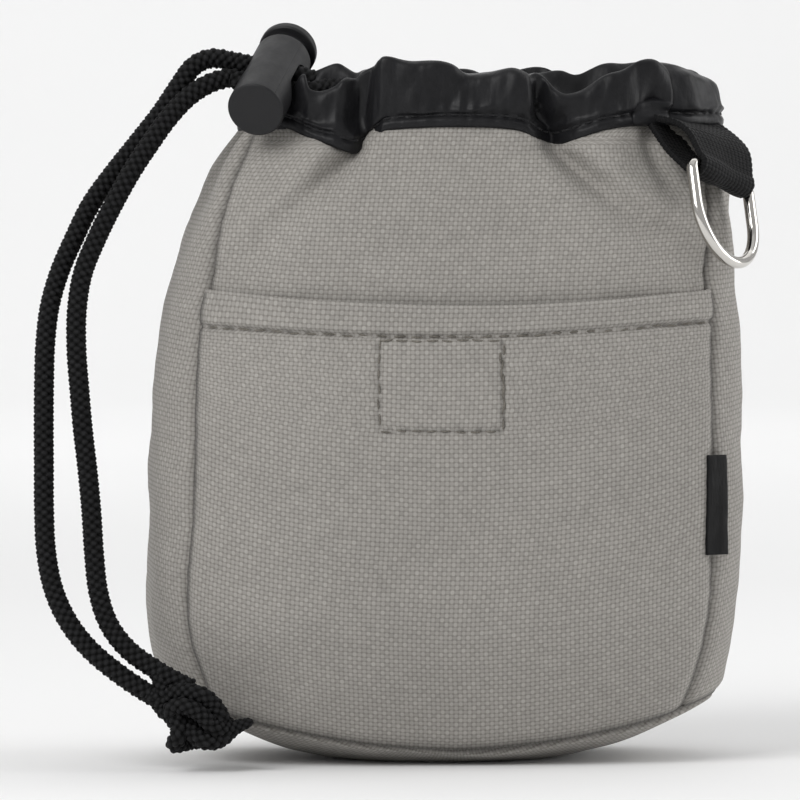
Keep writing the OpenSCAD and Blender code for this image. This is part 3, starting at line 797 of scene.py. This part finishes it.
# Columns round the mouth. For each: angle, hem height, offset at mid height, offset and height of
# the outer crest, offset and height of the dish behind it, offset and height of the inner crest,
# and how far mid height and crest lean sideways.
def front_columns():
    rows = [
        # x,    hem,   mid,  of,   zf,    od,   zd,    ok,   zk,    sm,  sf
        (-35.4, 137.9, 0.6, 0.2, 148.9, -2.6, 147.4, -5.0, 149.2, 1.0, 3.2),
        (-33.4, 137.2, 0.9, 0.4, 149.0, -2.8, 147.4, -5.2, 150.4, 0.9, 2.4),
        (-31.2, 136.0, 1.3, 0.9, 146.4, -2.9, 145.0, -5.5, 151.4, 0.7, 1.2),
        (-28.4, 134.8, 1.6, 1.0, 146.0, -3.0, 144.8, -5.8, 152.0, 0.3, 0.5),
        (-25.6, 134.1, 1.4, 0.6, 147.0, -3.0, 145.4, -5.8, 152.1, 0.2, 0.2),
        (-23.4, 133.2, 0.4, 0.2, 149.2, -2.8, 147.6, -5.8, 151.2, 0.3, 0.3),
        (-21.4, 132.5, -2.8, -1.2, 149.2, -3.2, 148.6, -5.8, 150.4, 0.5, 0.6),
        (-19.9, 132.8, -4.8, -1.5, 150.6, -3.4, 150.7, -5.8, 151.0, -0.4, 0.4),
        (-18.5, 133.8, -4.4, -1.6, 151.2, -3.4, 151.3, -5.8, 151.2, -0.8, 0.4),
        (-17.1, 135.2, -1.6, -1.2, 151.6, -3.6, 151.4, -5.8, 151.2, -1.0, 0.2),
        (-15.5, 136.4, 1.4, 0.4, 152.4, -3.6, 152.0, -5.8, 151.4, -0.6, -0.2),
        (-13.6, 137.4, 2.2, 0.9, 153.1, -3.6, 152.4, -5.8, 151.4, 0.0, 0.0),
        (-6.0, 138.0, 1.8, 0.6, 152.7, -3.6, 152.2, -5.8, 151.0, 0.0, 0.0),
        (0.0, 138.1, 1.5, 0.4, 151.5, -3.6, 151.3, -5.8, 150.6, 0.0, 0.0),
        (3.6, 138.1, 1.4, 0.0, 149.7, -3.6, 149.9, -5.8, 150.0, 0.0, 0.0),
        (8.0, 138.0, 1.8, 0.5, 150.3, -3.6, 150.2, -5.8, 150.0, 0.0, 0.0),
        (12.8, 137.6, 2.3, 0.9, 150.9, -3.6, 150.6, -5.8, 150.0, 0.4, 0.2),
        (15.4, 137.0, 2.0, 0.5, 150.2, -3.6, 150.0, -5.8, 150.0, 1.3, 0.6),
        (16.8, 136.3, -0.8, -1.0, 149.6, -3.6, 149.6, -5.8, 150.0, 0.9, 0.2),
        (18.4, 135.4, -4.0, -1.6, 149.9, -3.8, 149.9, -5.8, 150.2, 0.2, 0.0),
        (20.4, 134.6, -4.6, -1.2, 149.0, -3.6, 148.8, -5.8, 150.2, -0.8, -0.4),
        (22.6, 134.3, -2.8, 0.4, 146.6, -3.0, 146.4, -5.8, 150.3, -0.9, -0.7),
        (24.8, 134.6, -0.4, 1.2, 145.7, -2.8, 145.2, -5.6, 150.2, -0.4, -0.4),
        (27.8, 135.8, 1.4, 1.0, 147.0, -2.8, 145.6, -5.4, 149.4, 0.0, 0.0),
        (31.8, 137.2, 1.8, 0.6, 148.2, -2.8, 146.8, -5.2, 150.4, 0.0, 0.0),
        (36.4, 138.1, 1.6, 0.4, 149.7, -2.8, 148.4, -5.2, 152.4, 0.0, 0.0),
        (40.6, 138.5, 1.4, 0.2, 152.2, -3.0, 151.4, -5.4, 153.0, 0.0, 0.0),
        (44.4, 138.8, 1.2, -0.4, 152.5, -3.2, 152.2, -5.6, 152.8, 0.6, 0.4),
        (47.2, 138.9, 0.4, -1.2, 150.6, -3.4, 151.0, -5.8, 152.4, 1.4, 0.8),
    ]
    return [(front_phi(r[0]),) + r[1:] for r in rows]


def other_columns():
    """The right end and the back, with pleats in a fixed irregular pattern."""
    rows = [
        (330.0, 138.9, -2.6, -3.6, 151.2, -4.4, 151.2, -6.2, 152.0, 0.4, 0.4),
        (334.0, 138.8, -3.4, -5.0, 151.8, -5.4, 151.8, -6.6, 152.4, -0.6, -0.4),
        (340.0, 138.7, 0.6, -4.0, 151.4, -5.4, 151.8, -7.0, 152.2, 0.0, 0.0),
        (350.0, 138.6, 0.4, -5.0, 150.4, -6.2, 151.2, -7.4, 151.6, 0.0, 0.0),
        (360.0, 138.4, 0.3, -4.6, 149.6, -6.2, 150.6, -7.4, 151.0, 0.0, 0.0),
        (369.0, 138.2, 0.8, -3.4, 150.4, -5.2, 150.8, -7.0, 151.2, 0.0, 0.0),
    ]
    r = np.random.default_rng(17)
    phi, k = 378.0, 0
    while phi < 514:
        deep = k % 3 == 2
        if deep:
            for step, mid, of in ((0, 0.2, -0.4), (1.8, -4.0, -1.5), (2.6, -4.4, -1.6), (2.2, 0.0, -0.4)):
                phi += step
                rows.append((phi, 135.0 + 1.2 * (mid > -1), mid, of, 150.0 + r.uniform(-0.6, 0.6), -3.6,
                             149.8 + r.uniform(-0.5, 0.5), -5.8, 150.2 + r.uniform(-0.5, 0.5),
                             r.uniform(-0.6, 0.6), r.uniform(-0.5, 0.5)))
            phi += r.uniform(5.0, 8.0)
        else:
            up = r.uniform(150.2, 152.8)
            dish = r.uniform(0.2, 3.4) if r.random() < 0.55 else 0.3
            rows.append((phi, 137.8 + r.uniform(-0.6, 0.4), 1.6 + r.uniform(-0.5, 0.6), 0.4, up - dish,
                         -3.2, up - dish - 0.6, -5.6, up, 0.0, 0.0))
            phi += r.uniform(8.0, 13.0)
        k += 1
    return [row for row in rows if row[0] < 513.5]


def column_net():
    first = (front_phi(-37.0), 138.1, 0.4, -0.2, 147.0, -2.6, 146.2, -4.8, 147.6, 1.1, 3.6)
    last = (514.5, 137.4, 0.2, -0.8, 149.2, -3.2, 149.4, -5.4, 149.8, 0.0, 0.0)
    return np.array([first, *front_columns(), *other_columns(), last])


NET = column_net()


def under_casing(phi, z):
    """How far the cloth is pressed in above the casing's hem, and more so in the casing's pleats."""
    angle = np.mod(phi - 190, 360) + 190
    hem, mid = (np.interp(angle, NET[:, 0], NET[:, k]) for k in (1, 2))
    return (1.6 + 0.5 * np.maximum(-mid - 1, 0)) * ramp((z - hem - 0.1) / 1.4)


walls = [
    (wall("front_cloth", FRONT), "front_panel"), (wall("right_side_cloth", RIGHT), "right_gusset"),
    (wall("back_cloth", BACK), "back_panel"), (wall("left_side_cloth", LEFT), "left_gusset"),
]
for obj, node in walls:
    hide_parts(node)


STEPS = 6  # rows of the casing's mesh from one level to the next


def casing_cloth():
    """The gathered tube, as rows up its outside, over its two crests and down its inside."""
    phi, hem, mid, of, zf, od, zd, ok, zk, sm, sf = NET.T
    low = relief(phi, hem)
    none = 0 * hem
    levels = [  # offset, height, sideways lean; the limits keep the outside clear of the cord inside
        (low - 0.1, hem - 0.1, none), (low + 0.95, hem + 0.3, none), (low + 1.15, hem + 1.6, none),
        (low * 0.9 + 0.45, hem + 2.75, 0.1 * sm),
        (low * 0.7 + 1.0 + 0.2 * mid, hem + 3.9, 0.3 * sm),
        (np.maximum(mid + 0.3 * low, -3.2), hem * 0.5 + zf * 0.5 - 0.6, sm),
        (np.maximum(of + 0.9 + 0.2 * mid, -1.2), zf - 1.9, 0.3 * sm + 0.7 * sf),
        (of, zf - 0.1, sf), (0.5 * (of + od), 0.6 * zf + 0.4 * zd + 0.1, 0.6 * sf),
        (od, zd, 0.3 * sf), (ok + 0.5, zk - 0.3, none), (ok - 0.6, zk - 1.6, none),
        (ok - 1.1, none + 144.0, none), (ok - 0.6, none + 137.0, none),
    ]
    N = np.stack([stack(*level) for level in levels], axis=1)  # columns, levels, 3
    N = np.concatenate([N, phi[:, None, None] * np.ones((1, N.shape[1], 1))], axis=2)
    N = through(N, 9)
    N = through(N.transpose(1, 0, 2), STEPS).transpose(1, 0, 2)
    off, z, lean, angle = N[..., 0], N[..., 1], N[..., 2], N[..., 3]
    rim = np.full(angle.shape, SHELL_H)
    p, n = skin_point(angle, rim), skin_normal(angle, rim)
    way = stack(-n[..., 1], n[..., 0], 0 * angle)
    P = p + n * off[..., None] + way * lean[..., None]
    P[..., 2] = z
    # fine gathers that run up from the stitch line, and soft crumples
    row = np.linspace(0, len(levels) - 1, P.shape[1])[None]
    near = bell(row - 3.6, 1.6)
    way_round = travel(p[:, 0])[:, None]
    comb = np.sin(way_round * 2 * np.pi / 3.4 + 2.2 * np.sin(way_round / 7.3))
    comb = comb + 0.6 * np.sin(way_round * 2 * np.pi / 2.1 + 1.3)
    body = ramp((row - 2.6) / 1.5) * (1 - ramp((row - 11) / 2))
    crumple = 0.3 * ripple(P * [1, 1, 0.6], 9.0, 44) + 0.14 * ripple(P * [1, 1, 0.5], 4.2, 45)
    shift = 0.17 * comb * near + body * crumple
    return P + n * shift[..., None] + arr(0, 0, 0.35) * (body * ripple(P, 8.0, 46))[..., None]


P_CASING = casing_cloth()
casing_obj = thick(grid("casing_cloth", P_CASING, "pouch", NYLON, turn=True), 0.35)
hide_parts("drawstring_casing")

# stitches in the groove on top of the hem band
groove = 3 * STEPS
line = P_CASING[4:-4, groove]
up = P_CASING[4:-4, groove + 2] - P_CASING[4:-4, groove - 2]
out = unit(np.cross(up, np.gradient(line, axis=0)))
away = skin_normal(np.degrees(np.arctan2(line[:, 1], line[:, 0])), SHELL_H)
out = out * np.sign((out * away).sum(-1))[:, None]
parts = stitches(line, out, 3.0, 2.5, 0.45, sink=0.4, rise=0.18, wobble=0.04, seed=9)
obj = joined("casing_stitches", parts, "pouch", THREAD_BLACK)
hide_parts("casing_thread")


# Black tape that binds the cloth's edge in the gap between the casing's two ends.
def binding():
    phi = np.linspace(153.5, NET[0, 0] + 1.5, 90)
    z = np.full(phi.shape, SHELL_H)
    p, n = skin_point(phi, z), skin_normal(phi, z)
    off = relief(phi, z) + 0.15 * ripple(p, 6.0, 51)
    path = through([(0.4, -1.9), (0.8, -1.5), (0.95, -0.6), (0.8, 0.7),
                    (0.0, 1.3), (-1.4, 1.2), (-1.9, -0.6), (-1.8, -4.0)], 4)
    P = p[:, None] + n[:, None] * (path[:, 0] + off[:, None])[..., None]
    P[..., 2] += path[:, 1] + 0.2 * ripple(p, 8.0, 52)[:, None]
    return grid("mouth_binding", P, "pouch", NYLON, turn=True)


binding_obj = thick(binding(), 0.35)

# ---------------------------------------------------------------- cords

CORD_D = 4.2
LOCK_MID = arr(-38.4, -12, 148.8)
LOCK_AXIS = unit([0.278, 0.848, 0.452])
LOCK_OUT = square_to([-0.955, 0.209, 0.2], LOCK_AXIS)
LOCK_SIDE = np.cross(LOCK_AXIS, LOCK_OUT)
BACK_SLOT = LOCK_MID + 1.9 * LOCK_AXIS + 1.1 * LOCK_SIDE
FRONT_SLOT = LOCK_MID - 1.9 * LOCK_AXIS - 1.1 * LOCK_SIDE
FACE, STRAIGHT = 6.2, 9.5  # from the lock's axis out to its face, and to the end of the straight lead
PLAITS, LAY = 5, 9.2  # strands each way round the cord, and mm of cord to one turn


def braid(line, d=CORD_D, sides=64, taper=1.0):
    """Braided round cord along a line: strands that pass over and under each other."""
    along, a = travel(line)[:, None], circle(sides)[None]
    p, q = (np.pi * PLAITS * (a / 2 / np.pi + sign * along / LAY) for sign in (1, -1))
    sp, sq = np.sin(p), np.sin(q)
    one = 0.42 * sp * np.sign(sq) + 0.58 * np.abs(sq) ** 0.6
    two = -0.42 * sq * np.sign(sp) + 0.58 * np.abs(sp) ** 0.6
    h = np.maximum(one, two)
    taper = taper * np.ones(len(line))
    return tube_grid(line, (d / 2 + 0.2) * taper, sides, shape=(h - 1) * taper[:, None]), h


OUTER_ROUTE = [
    [-51.6, -9, 153.2], [-55.6, -9.5, 151.4], [-58.9, -10.3, 147], [-62.8, -11.3, 141.2],
    [-67.7, -12.5, 135], [-73.3, -13.7, 128], [-78, -15, 121.5], [-81.5, -16.5, 114.5],
    [-84.8, -18, 107], [-87, -19.5, 99.5], [-88, -21, 91.5], [-88.3, -22.5, 83],
    [-88.4, -24, 74], [-88.4, -25.5, 65], [-88.4, -27, 56], [-88, -28.5, 47],
    [-86.5, -30, 39], [-83.5, -31.5, 32.2], [-79, -33, 26.3], [-73, -34.5, 21.2],
    [-66.8, -35.7, 17], [-62, -36.3, 14.5], [-57.5, -36.5, 13],
]
INNER_ROUTE = [
    [-52.4, -12.4, 147.6], [-57, -13.4, 144.6], [-61.3, -14.8, 140], [-65.2, -16.3, 134.6],
    [-69.2, -17.8, 128.6], [-73.2, -19.2, 121.5], [-76.9, -20.2, 114], [-79.9, -21.2, 106.5],
    [-81.2, -22.2, 98.5], [-81.3, -23.2, 90], [-80.7, -24.4, 81.5], [-80, -25.6, 73],
    [-79, -26.8, 64], [-78.2, -28, 55], [-77.7, -29.4, 46.5], [-76.8, -31, 38.2],
    [-74.6, -32.5, 31.4], [-70.5, -34, 26], [-65, -35.2, 22], [-60.5, -36, 19.4],
    [-56.8, -36.3, 17.6],
]


def strand_line(slot, route):
    start = [slot + u * LOCK_OUT for u in (FACE - 0.6, STRAIGHT - 2, STRAIGHT)]
    return resample(through(np.concatenate([start, route]), 8), 0.27)


strands = []
for name, node, slot, route in (("outer_cord", "outer_strand", BACK_SLOT, OUTER_ROUTE),
                                ("inner_cord", "inner_strand", FRONT_SLOT, INNER_ROUTE)):
    line = strand_line(slot, route)
    obj = joined(name, [braid(line)], "pouch", CORD)
    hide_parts(node)
    strands.append((obj, line, slot))

# the run inside the lock and the casing
CASING_Z = SHELL_H + 0.15  # a hairline above the cloth's edge
# from the lock to the casing's back end
BACK_LEAD = [[-29, -12, 148.4], [-24.6, -10.6, 148.2], [-22.4, -6, 148], [-23, 0, 147.6],
             [-25.2, 6, 147.2], [-26.6, 11, 146.9]]
k = np.arange(31)
inside = skin_point(515 - k / 30 * 310, np.full(31, SHELL_H), -4.2)
inside[:, 2] = CASING_Z + 7.5 - 3.4 * ramp(np.minimum(k, 30 - k) / 3)
route = np.concatenate([
    [BACK_SLOT + u * LOCK_OUT for u in (FACE - 0.6, 0, -3, -5)], BACK_LEAD, inside,
    [(-30.6, -15.8, 146)], [FRONT_SLOT + u * LOCK_OUT for u in (-5, -3, 0, FACE - 0.6)],
])
obj = joined("drawstring_run", [braid(resample(through(route, 8), 0.45), sides=48)], "pouch", CORD)
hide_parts("drawstring")


# The overhand knot: both cords go round together, and their two tails come out at the lower right.
# Places are in mm from its middle: to the right, up, and towards the front.
KNOT_MID = arr(-55.4, -37.2, 12.4)
KNOT_OUTER = [
    (-7.6, 0.9, -0.6), (-4.9, -1.4, 1.6), (-4.4, -4.4, 2.2), (-5.2, -6.6, 0.2), (-2.4, -6.3, -2.2),
    (1.2, -5.6, -1.0), (4.4, -5.2, 1.6), (6.2, -3.4, 0.4), (4.4, -0.8, -2.6), (0.4, 0.8, -3.4),
    (-2.8, -0.8, -1.8), (-1.8, -3.6, 1.6), (1.0, -5.6, 3.0), (4.0, -5.6, 2.0), (7.2, -3.6, 0.2),
    (10.6, -2.2, -0.6),
]
KNOT_INNER = [
    (-7.2, 4.6, -0.4), (-3.8, 4.8, 1.2), (0.0, 4.4, 2.6), (3.0, 2.2, 2.4), (4.6, -0.8, 1.8),
    (3.4, -3.2, -0.6), (-0.6, -3.4, -2.2), (-4.8, -2.0, -1.6), (-6.0, 0.8, 1.2), (-3.4, 1.9, 3.2),
    (0.2, 0.2, 3.6), (3.0, -2.6, 3.2), (6.0, -3.2, 1.6), (8.6, -2.6, 0.8), (11.6, -1.6, 0.6),
]


def knot():
    parts = []
    for (_, arrive, _), route in zip(strands, (KNOT_OUTER, KNOT_INNER)):
        route = KNOT_MID + np.array([(x, -front, up) for x, up, front in route])
        before = arrive[arrive[:, 0] < route[0, 0] - 1.5]
        line = resample(through(np.concatenate([before[[-9, -1]], route]), 10), 0.24)
        left = np.linspace(1, 0, len(line))
        end = 0.94 * (0.55 + 0.45 * ramp(left / 0.1)) * (0.5 + 0.5 * ramp(left / 0.015))
        parts.append(braid(line, d=3.9, taper=end))
    return joined("cord_knot_tied", parts, "pouch", CORD)


knot_obj = knot()
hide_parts("cord_knot")
for obj, line, slot in strands:
    round(float(travel(line)[-1]) * MM, 3)

# ---------------------------------------------------------------- the lock


def to_lock(P):
    """From the lock's own frame, with Z along the barrel and the cords leaving towards -X."""
    P = np.asarray(P, float)
    x, z = -LOCK_OUT, LOCK_AXIS
    y = np.cross(z, x)
    return LOCK_MID + P[..., :1] * x + P[..., 1:2] * y + P[..., 2:3] * z


def arc(cx, cz, r, a0, a1, n=6):
    a = np.radians(np.linspace(a0, a1, n))
    return list(zip(cx + r * np.cos(a), cz + r * np.sin(a)))


def capped(name, P, body):
    """Moulded solid from rings of points in the lock's own frame, with its two ends closed."""
    n, m = P.shape[:2]
    ends = [np.arange(m), np.arange((n - 1) * m, n * m)[::-1]]
    return make_mesh(name, to_lock(P), grid_quads(n, m, loop_m=True), body, PLASTIC, ngons=ends)


def solid_lathe(name, profile, body):
    """Profile of (radius, height) from the axis at the bottom round to the axis again."""
    r, z = np.array(profile, float).T[..., None]
    a = circle(96)
    return capped(name, stack(r * np.cos(a), r * np.sin(a), z * np.ones(96)), body)


def cut_slot(obj, low, high):
    """Cut the round-ended slot that the cords pass through."""
    r = SLOT_WIDTH / 2
    y, z = np.array(arc(0, high - r, r, 0, 180, 25) + arc(0, low + r, r, 180, 360, 25)).T
    cutter = capped("cutter", np.array([stack(y * 0 + x, y, z) for x in (-12.0, 12.0)]), "lock")
    for o in (obj, cutter):
        face_out(o)
    mod = obj.modifiers.new("slot", "BOOLEAN")
    mod.operation, mod.solver, mod.object = "DIFFERENCE", "EXACT", cutter
    bpy.context.view_layer.update()
    view = bpy.context.evaluated_depsgraph_get()
    mesh = bpy.data.meshes.new_from_object(obj.evaluated_get(view))
    obj.modifiers.clear()
    obj.data = mesh
    bpy.data.objects.remove(cutter)
    mesh.polygons.foreach_set("use_smooth", np.full(len(mesh.polygons), True))
    mesh.set_sharp_from_angle(angle=math.radians(35))


def face_out(obj):
    bm = bmesh.new()
    bm.from_mesh(obj.data)
    bmesh.ops.recalc_face_normals(bm, faces=bm.faces)
    bm.to_mesh(obj.data)
    bm.free()


BARREL_R, BARREL_LOW, BARREL_TOP, BORE_R, SHAFT_R = 6.2, -15.5, 9.5, 5.0, 4.92
SHAFT_LOW, SLOT_WIDTH, SLOT_REACH = -8.5, 7.1, 4.9
PRESS = 3.0  # the button's travel
barrel = solid_lathe("barrel", [
    (0.05, BARREL_LOW), (3.0, BARREL_LOW), (5.6, BARREL_LOW), *arc(5.75, BARREL_LOW + 0.45, 0.45, -90, 0),
    (BARREL_R, -13.5), (BARREL_R, -6.0), (BARREL_R, 3.0), (BARREL_R, 8.6),
    *arc(5.85, 9.15, 0.35, 0, 90), *arc(5.3, 9.2, 0.3, 90, 180),
    (BORE_R, 6.0), (BORE_R, -6.0), (BORE_R, -13.6), (4.6, -14.0), (2.0, -14.0), (0.05, -14.0),
], "lock")
cut_slot(barrel, -SLOT_REACH - PRESS, SLOT_REACH)
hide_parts("lock_barrel")

button_low = BARREL_TOP + 3.2
plunger = solid_lathe("plunger", [
    (0.05, SHAFT_LOW), (4.4, SHAFT_LOW), *arc(4.62, -8.2, 0.3, -90, 0),
    (SHAFT_R, -4.0), (SHAFT_R, 4.0), (SHAFT_R, 11.0), (SHAFT_R, button_low - 0.1), (5.2, button_low),
    *arc(5.9, button_low + 0.5, 0.5, -90, 0), *arc(5.5, button_low + 1.7, 0.9, 0, 90, 8),
    (4.2, button_low + 2.6), (2.0, button_low + 2.62), (0.05, button_low + 2.62),
], "plunger")
cut_slot(plunger, -SLOT_REACH, SLOT_REACH + PRESS)
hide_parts("lock_plunger")



def on_barrel(angle, r, z):
    """Points in the world, from an angle in degrees, a radius and a height in the lock's own frame."""
    r, z = np.broadcast_arrays(np.asarray(r, float), z)
    return to_lock(stack(r * math.cos(math.radians(angle)), r * math.sin(math.radians(angle)), z))


# mould lines down the barrel, and the stub left by its gate
ridge = [
    tube_grid(on_barrel(128, 6.17, np.linspace(-14.8, -8.5, 20)), 0.09, 8),
    tube_grid(on_barrel(308, 6.17, np.linspace(-14.8, 9.0, 50)), 0.09, 8),
    tube_grid(on_barrel(48, [5.9, 6.3, 6.6, 6.85], 7.4), np.array([0.6, 0.55, 0.45, 0.2]), 12),
]
obj = joined("barrel_mould_marks", ridge, "lock", PLASTIC)

WIRE = 0.7  # the spring's wire is this thick
turns = np.linspace(0, 1, 320)
low, high = BARREL_LOW + 1.5 + 0.45, SHAFT_LOW - 0.45
winding = turns * 8 * np.pi
coil = to_lock(stack(3.5 * np.cos(winding), 3.5 * np.sin(winding), low + (high - low) * turns))
obj = joined("spring_coil", [tube_grid(coil, WIRE / 2, 12)], "lock", STEEL)
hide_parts("lock_spring")
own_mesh(obj)

# ---------------------------------------------------------------- loop, ring and label

BAR_MID = arr(58.3, -22.2, 127.9)
RING_BAR = unit([0.62, 0.74, -0.26])
RING_HANG = square_to([0.09, -0.375, -0.92], RING_BAR)
WEB_T, STRIP = 1.2, 19.4  # the tape's thickness and width
LOOP_SEAM = arr(44.5, -17.4, 139.6), arr(56.2, -11.6, 138.8)  # its ends in the mouth's seam


def ring_wire():
    """Straight bar, two rounded corners, two short arms and a half circle."""
    half, arm, corner, r = 11.3, 9.0, 2.0, 1.3
    flat = half - corner
    runs = [  # each leaves out its last point, where the next begins
        np.linspace((-flat, 0), (flat, 0), 23), arc(flat, -corner, corner, 90, 0, 11),
        np.linspace((half, -corner), (half, -arm), 11), arc(0, -arm, half, 0, -180, 61),
        np.linspace((-half, -arm), (-half, -corner), 11), arc(-flat, -corner, corner, 180, 90, 11),
    ]
    pts = np.concatenate([run[:-1] for run in runs])
    line = BAR_MID + pts[:, :1] * RING_BAR - pts[:, 1:] * RING_HANG
    side = np.cross(RING_BAR, RING_HANG)
    t = unit(np.roll(line, -1, axis=0) - np.roll(line, 1, axis=0))
    b = np.cross(t, side)
    a = circle(32)[:, None]
    P = line[:, None] + r * (side * np.cos(a) + b[:, None] * np.sin(a))
    return grid("ring_wire", P, "ring", CHROME, loop_n=True, loop_m=True)


obj = ring_wire()
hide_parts("d_ring")


def loop_tape():
    """Tape from the seam out to the bar, round it and back: its layers stand apart like a drop."""
    w = np.linspace(-0.5, 0.5, 41)
    mid = BAR_MID + w[:, None] * STRIP * RING_BAR
    seam = LOOP_SEAM[0] + (w[:, None] + 0.5) * (LOOP_SEAM[1] - LOOP_SEAM[0])
    reach = np.linalg.norm(seam - mid, axis=1)
    way = seam - mid
    way = unit(way - (way @ RING_BAR)[:, None] * RING_BAR)
    side = np.cross(RING_BAR, way)
    # along the way to the seam, as a share of it, and sideways in mm
    away = [(1.06, 0.1), (0.95, 0.9), (0.84, 1.7), (0.68, 2.9), (0.5, 3.8), (0.32, 3.7)]
    back = [(0.26, -2.3), (0.45, -2.35), (0.62, -2.0), (0.8, -1.5), (0.95, -1.1), (1.06, -0.9)]
    lines = []
    for r in reach:
        pts = [(f * r, h) for f, h in away] + arc(0, 0, 2.12, 72, 272, 13) + [(f * r, h) for f, h in back]
        lines.append(resample(through(pts, 8), 0.3))
    count = max(len(line) for line in lines)
    pick = np.linspace(0, 1, count)
    line = np.stack([read_at(l, np.linspace(0, 1, len(l)), pick) for l in lines], axis=1)
    P = mid[None] + line[..., :1] * way[None] + line[..., 1:] * side[None]
    n = np.gradient(line, axis=0)
    n = unit(stack(-n[..., 1], n[..., 0]))
    out = n[..., :1] * way[None] + n[..., 1:] * side[None]
    run = travel(P[:, len(w) // 2])
    wave = 0.14 * ripple(P, 9.0, 61)
    ribs = 0.09 * np.cos(2 * np.pi * run / 1.24)[:, None] * np.ones(len(w))
    P = P + out * (wave + ribs)[..., None]
    uv = stack(*np.broadcast_arrays(w[None] * STRIP, run[:, None]))
    return grid("loop_tape_folded", P, "pouch", WEBBING, uv)


loop_obj = thick(loop_tape(), WEB_T, 0.0)
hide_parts("ring_loop")


def label():
    """Folded tape: out of the seam over the gusset, round its fold and back."""
    low, high, start = 45.6, 67.2, -0.04
    z, t = np.linspace(low, high, 50), np.linspace(start, 0.064, 16)
    zz, tt = np.meshgrid(z, t, indexing="ij")
    # its folded edge leans in towards the seam at the top
    narrow = 0.89 - 0.14 * (zz - low) / (high - low)
    tt = start + (tt - start) * narrow
    phi = side_phi(RIGHT, tt, zz)
    base = relief(phi, zz)
    bend = 0.5 * ramp((tt + 0.02) / 0.08)
    wave = 0.15 * np.sin(zz / 5.0 + 1.0) * ramp((tt - start) / 0.09)
    off = base + bend + wave
    up, under = off_skin(phi, zz, off + 1.35), off_skin(phi, zz, off + 0.75)[:, ::-1]
    tip = off_skin(side_phi(RIGHT, start + 0.1055 * narrow[:, -1], z), z, off[:, -1] + 1.05)[:, None]
    P = np.concatenate([up, tip, under], axis=1)
    return thick(grid("side_label_tape", P, "pouch", LABEL), 0.18)


label_obj = label()
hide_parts("side_label")

# ---------------------------------------------------------------- stage, light and camera


def stage_look(name, colour, rough):
    k = Look(name, Roughness=rough, Specular_IOR_Level=0.1)
    return k.set(Base_Color=k.scale(colour, k.vary(k.noise(k.place(), 3.0, 2.0), 0.995, 1.005)))


def backdrop():
    """Pale floor that curves up into a wall far behind."""
    me = bpy.data.meshes.new("sweep")
    bend = arc(2.2, 0.9, 0.9, math.degrees(0.15) - 90, 0, 10)
    prof = [(-3.0, 0), (2.2, 0)] + bend + [(3.1, 4.0)]
    verts = [(x, y, z - 0.0002) for y, z in prof for x in (-5.0, 5.0)]
    faces = [(2 * i, 2 * i + 1, 2 * i + 3, 2 * i + 2) for i in range(len(prof) - 1)]
    me.from_pydata(verts, [], faces)
    for p in me.polygons:
        p.use_smooth = True
    me.materials.append(stage_look("pale_floor", (0.86, 0.86, 0.86, 1), 0.9))
    new_object("floor", me)


backdrop()


def point(obj, place, way):
    """Put a lamp or the camera in its place, looking a given way."""
    obj.location = place
    obj.rotation_mode = "QUATERNION"
    obj.rotation_quaternion = way.to_track_quat("-Z", "Y")


def area(name, place, target, size, watts):
    data = bpy.data.lights.new(name, "AREA")
    data.shape, data.size, data.size_y = "RECTANGLE", size[0], size[1]
    data.energy = watts
    point(new_object(name, data), Vector(place), Vector(target) - Vector(place))


middle = (0, 0, 0.08)
area("key", (-0.9, -0.95, 1.05), middle, (0.9, 0.9), 14.5)
area("fill_right", (1.3, 0.1, 0.5), middle, (0.8, 1.2), 9)
area("top", (0.1, 0.2, 1.7), middle, (1.6, 1.6), 2)
area("floor_wash", (0.0, 1.5, 1.9), (0, 1.3, 0), (4.0, 1.8), 13)
area("back_wall", (0.0, 1.4, 1.5), (0, 3.1, 0.6), (3.0, 1.0), 13)

world = bpy.data.worlds.new("studio")
world.use_nodes = True
sky = world.node_tree.nodes["Background"]
sky.inputs[0].default_value, sky.inputs[1].default_value = (1, 1, 1, 1), 0.5
scene.world = world
scene.view_settings.view_transform = "Standard"

azimuth, elevation, distance = math.radians(-3.5), math.radians(2.0), 1.5
level = math.cos(elevation)
back = Vector((math.sin(azimuth) * level, -math.cos(azimuth) * level, math.sin(elevation)))
camera = new_object("camera", bpy.data.cameras.new("camera"))
camera.data.lens, camera.data.sensor_width = 306.8, 36.0
camera.data.clip_start, camera.data.clip_end = 0.1, 20
point(camera, Vector((-0.0099, 0, 0.0783)) + back * distance, -back)
bpy.context.scene.camera = camera

# The cloth pieces, with the size that each was cut to.
seams = 6.0  # turned in along two edges together
for (obj, node), side in zip(walls, (FRONT, RIGHT, BACK, LEFT)):
    across = round(float(side_width(side, np.array(60.0))) + seams)
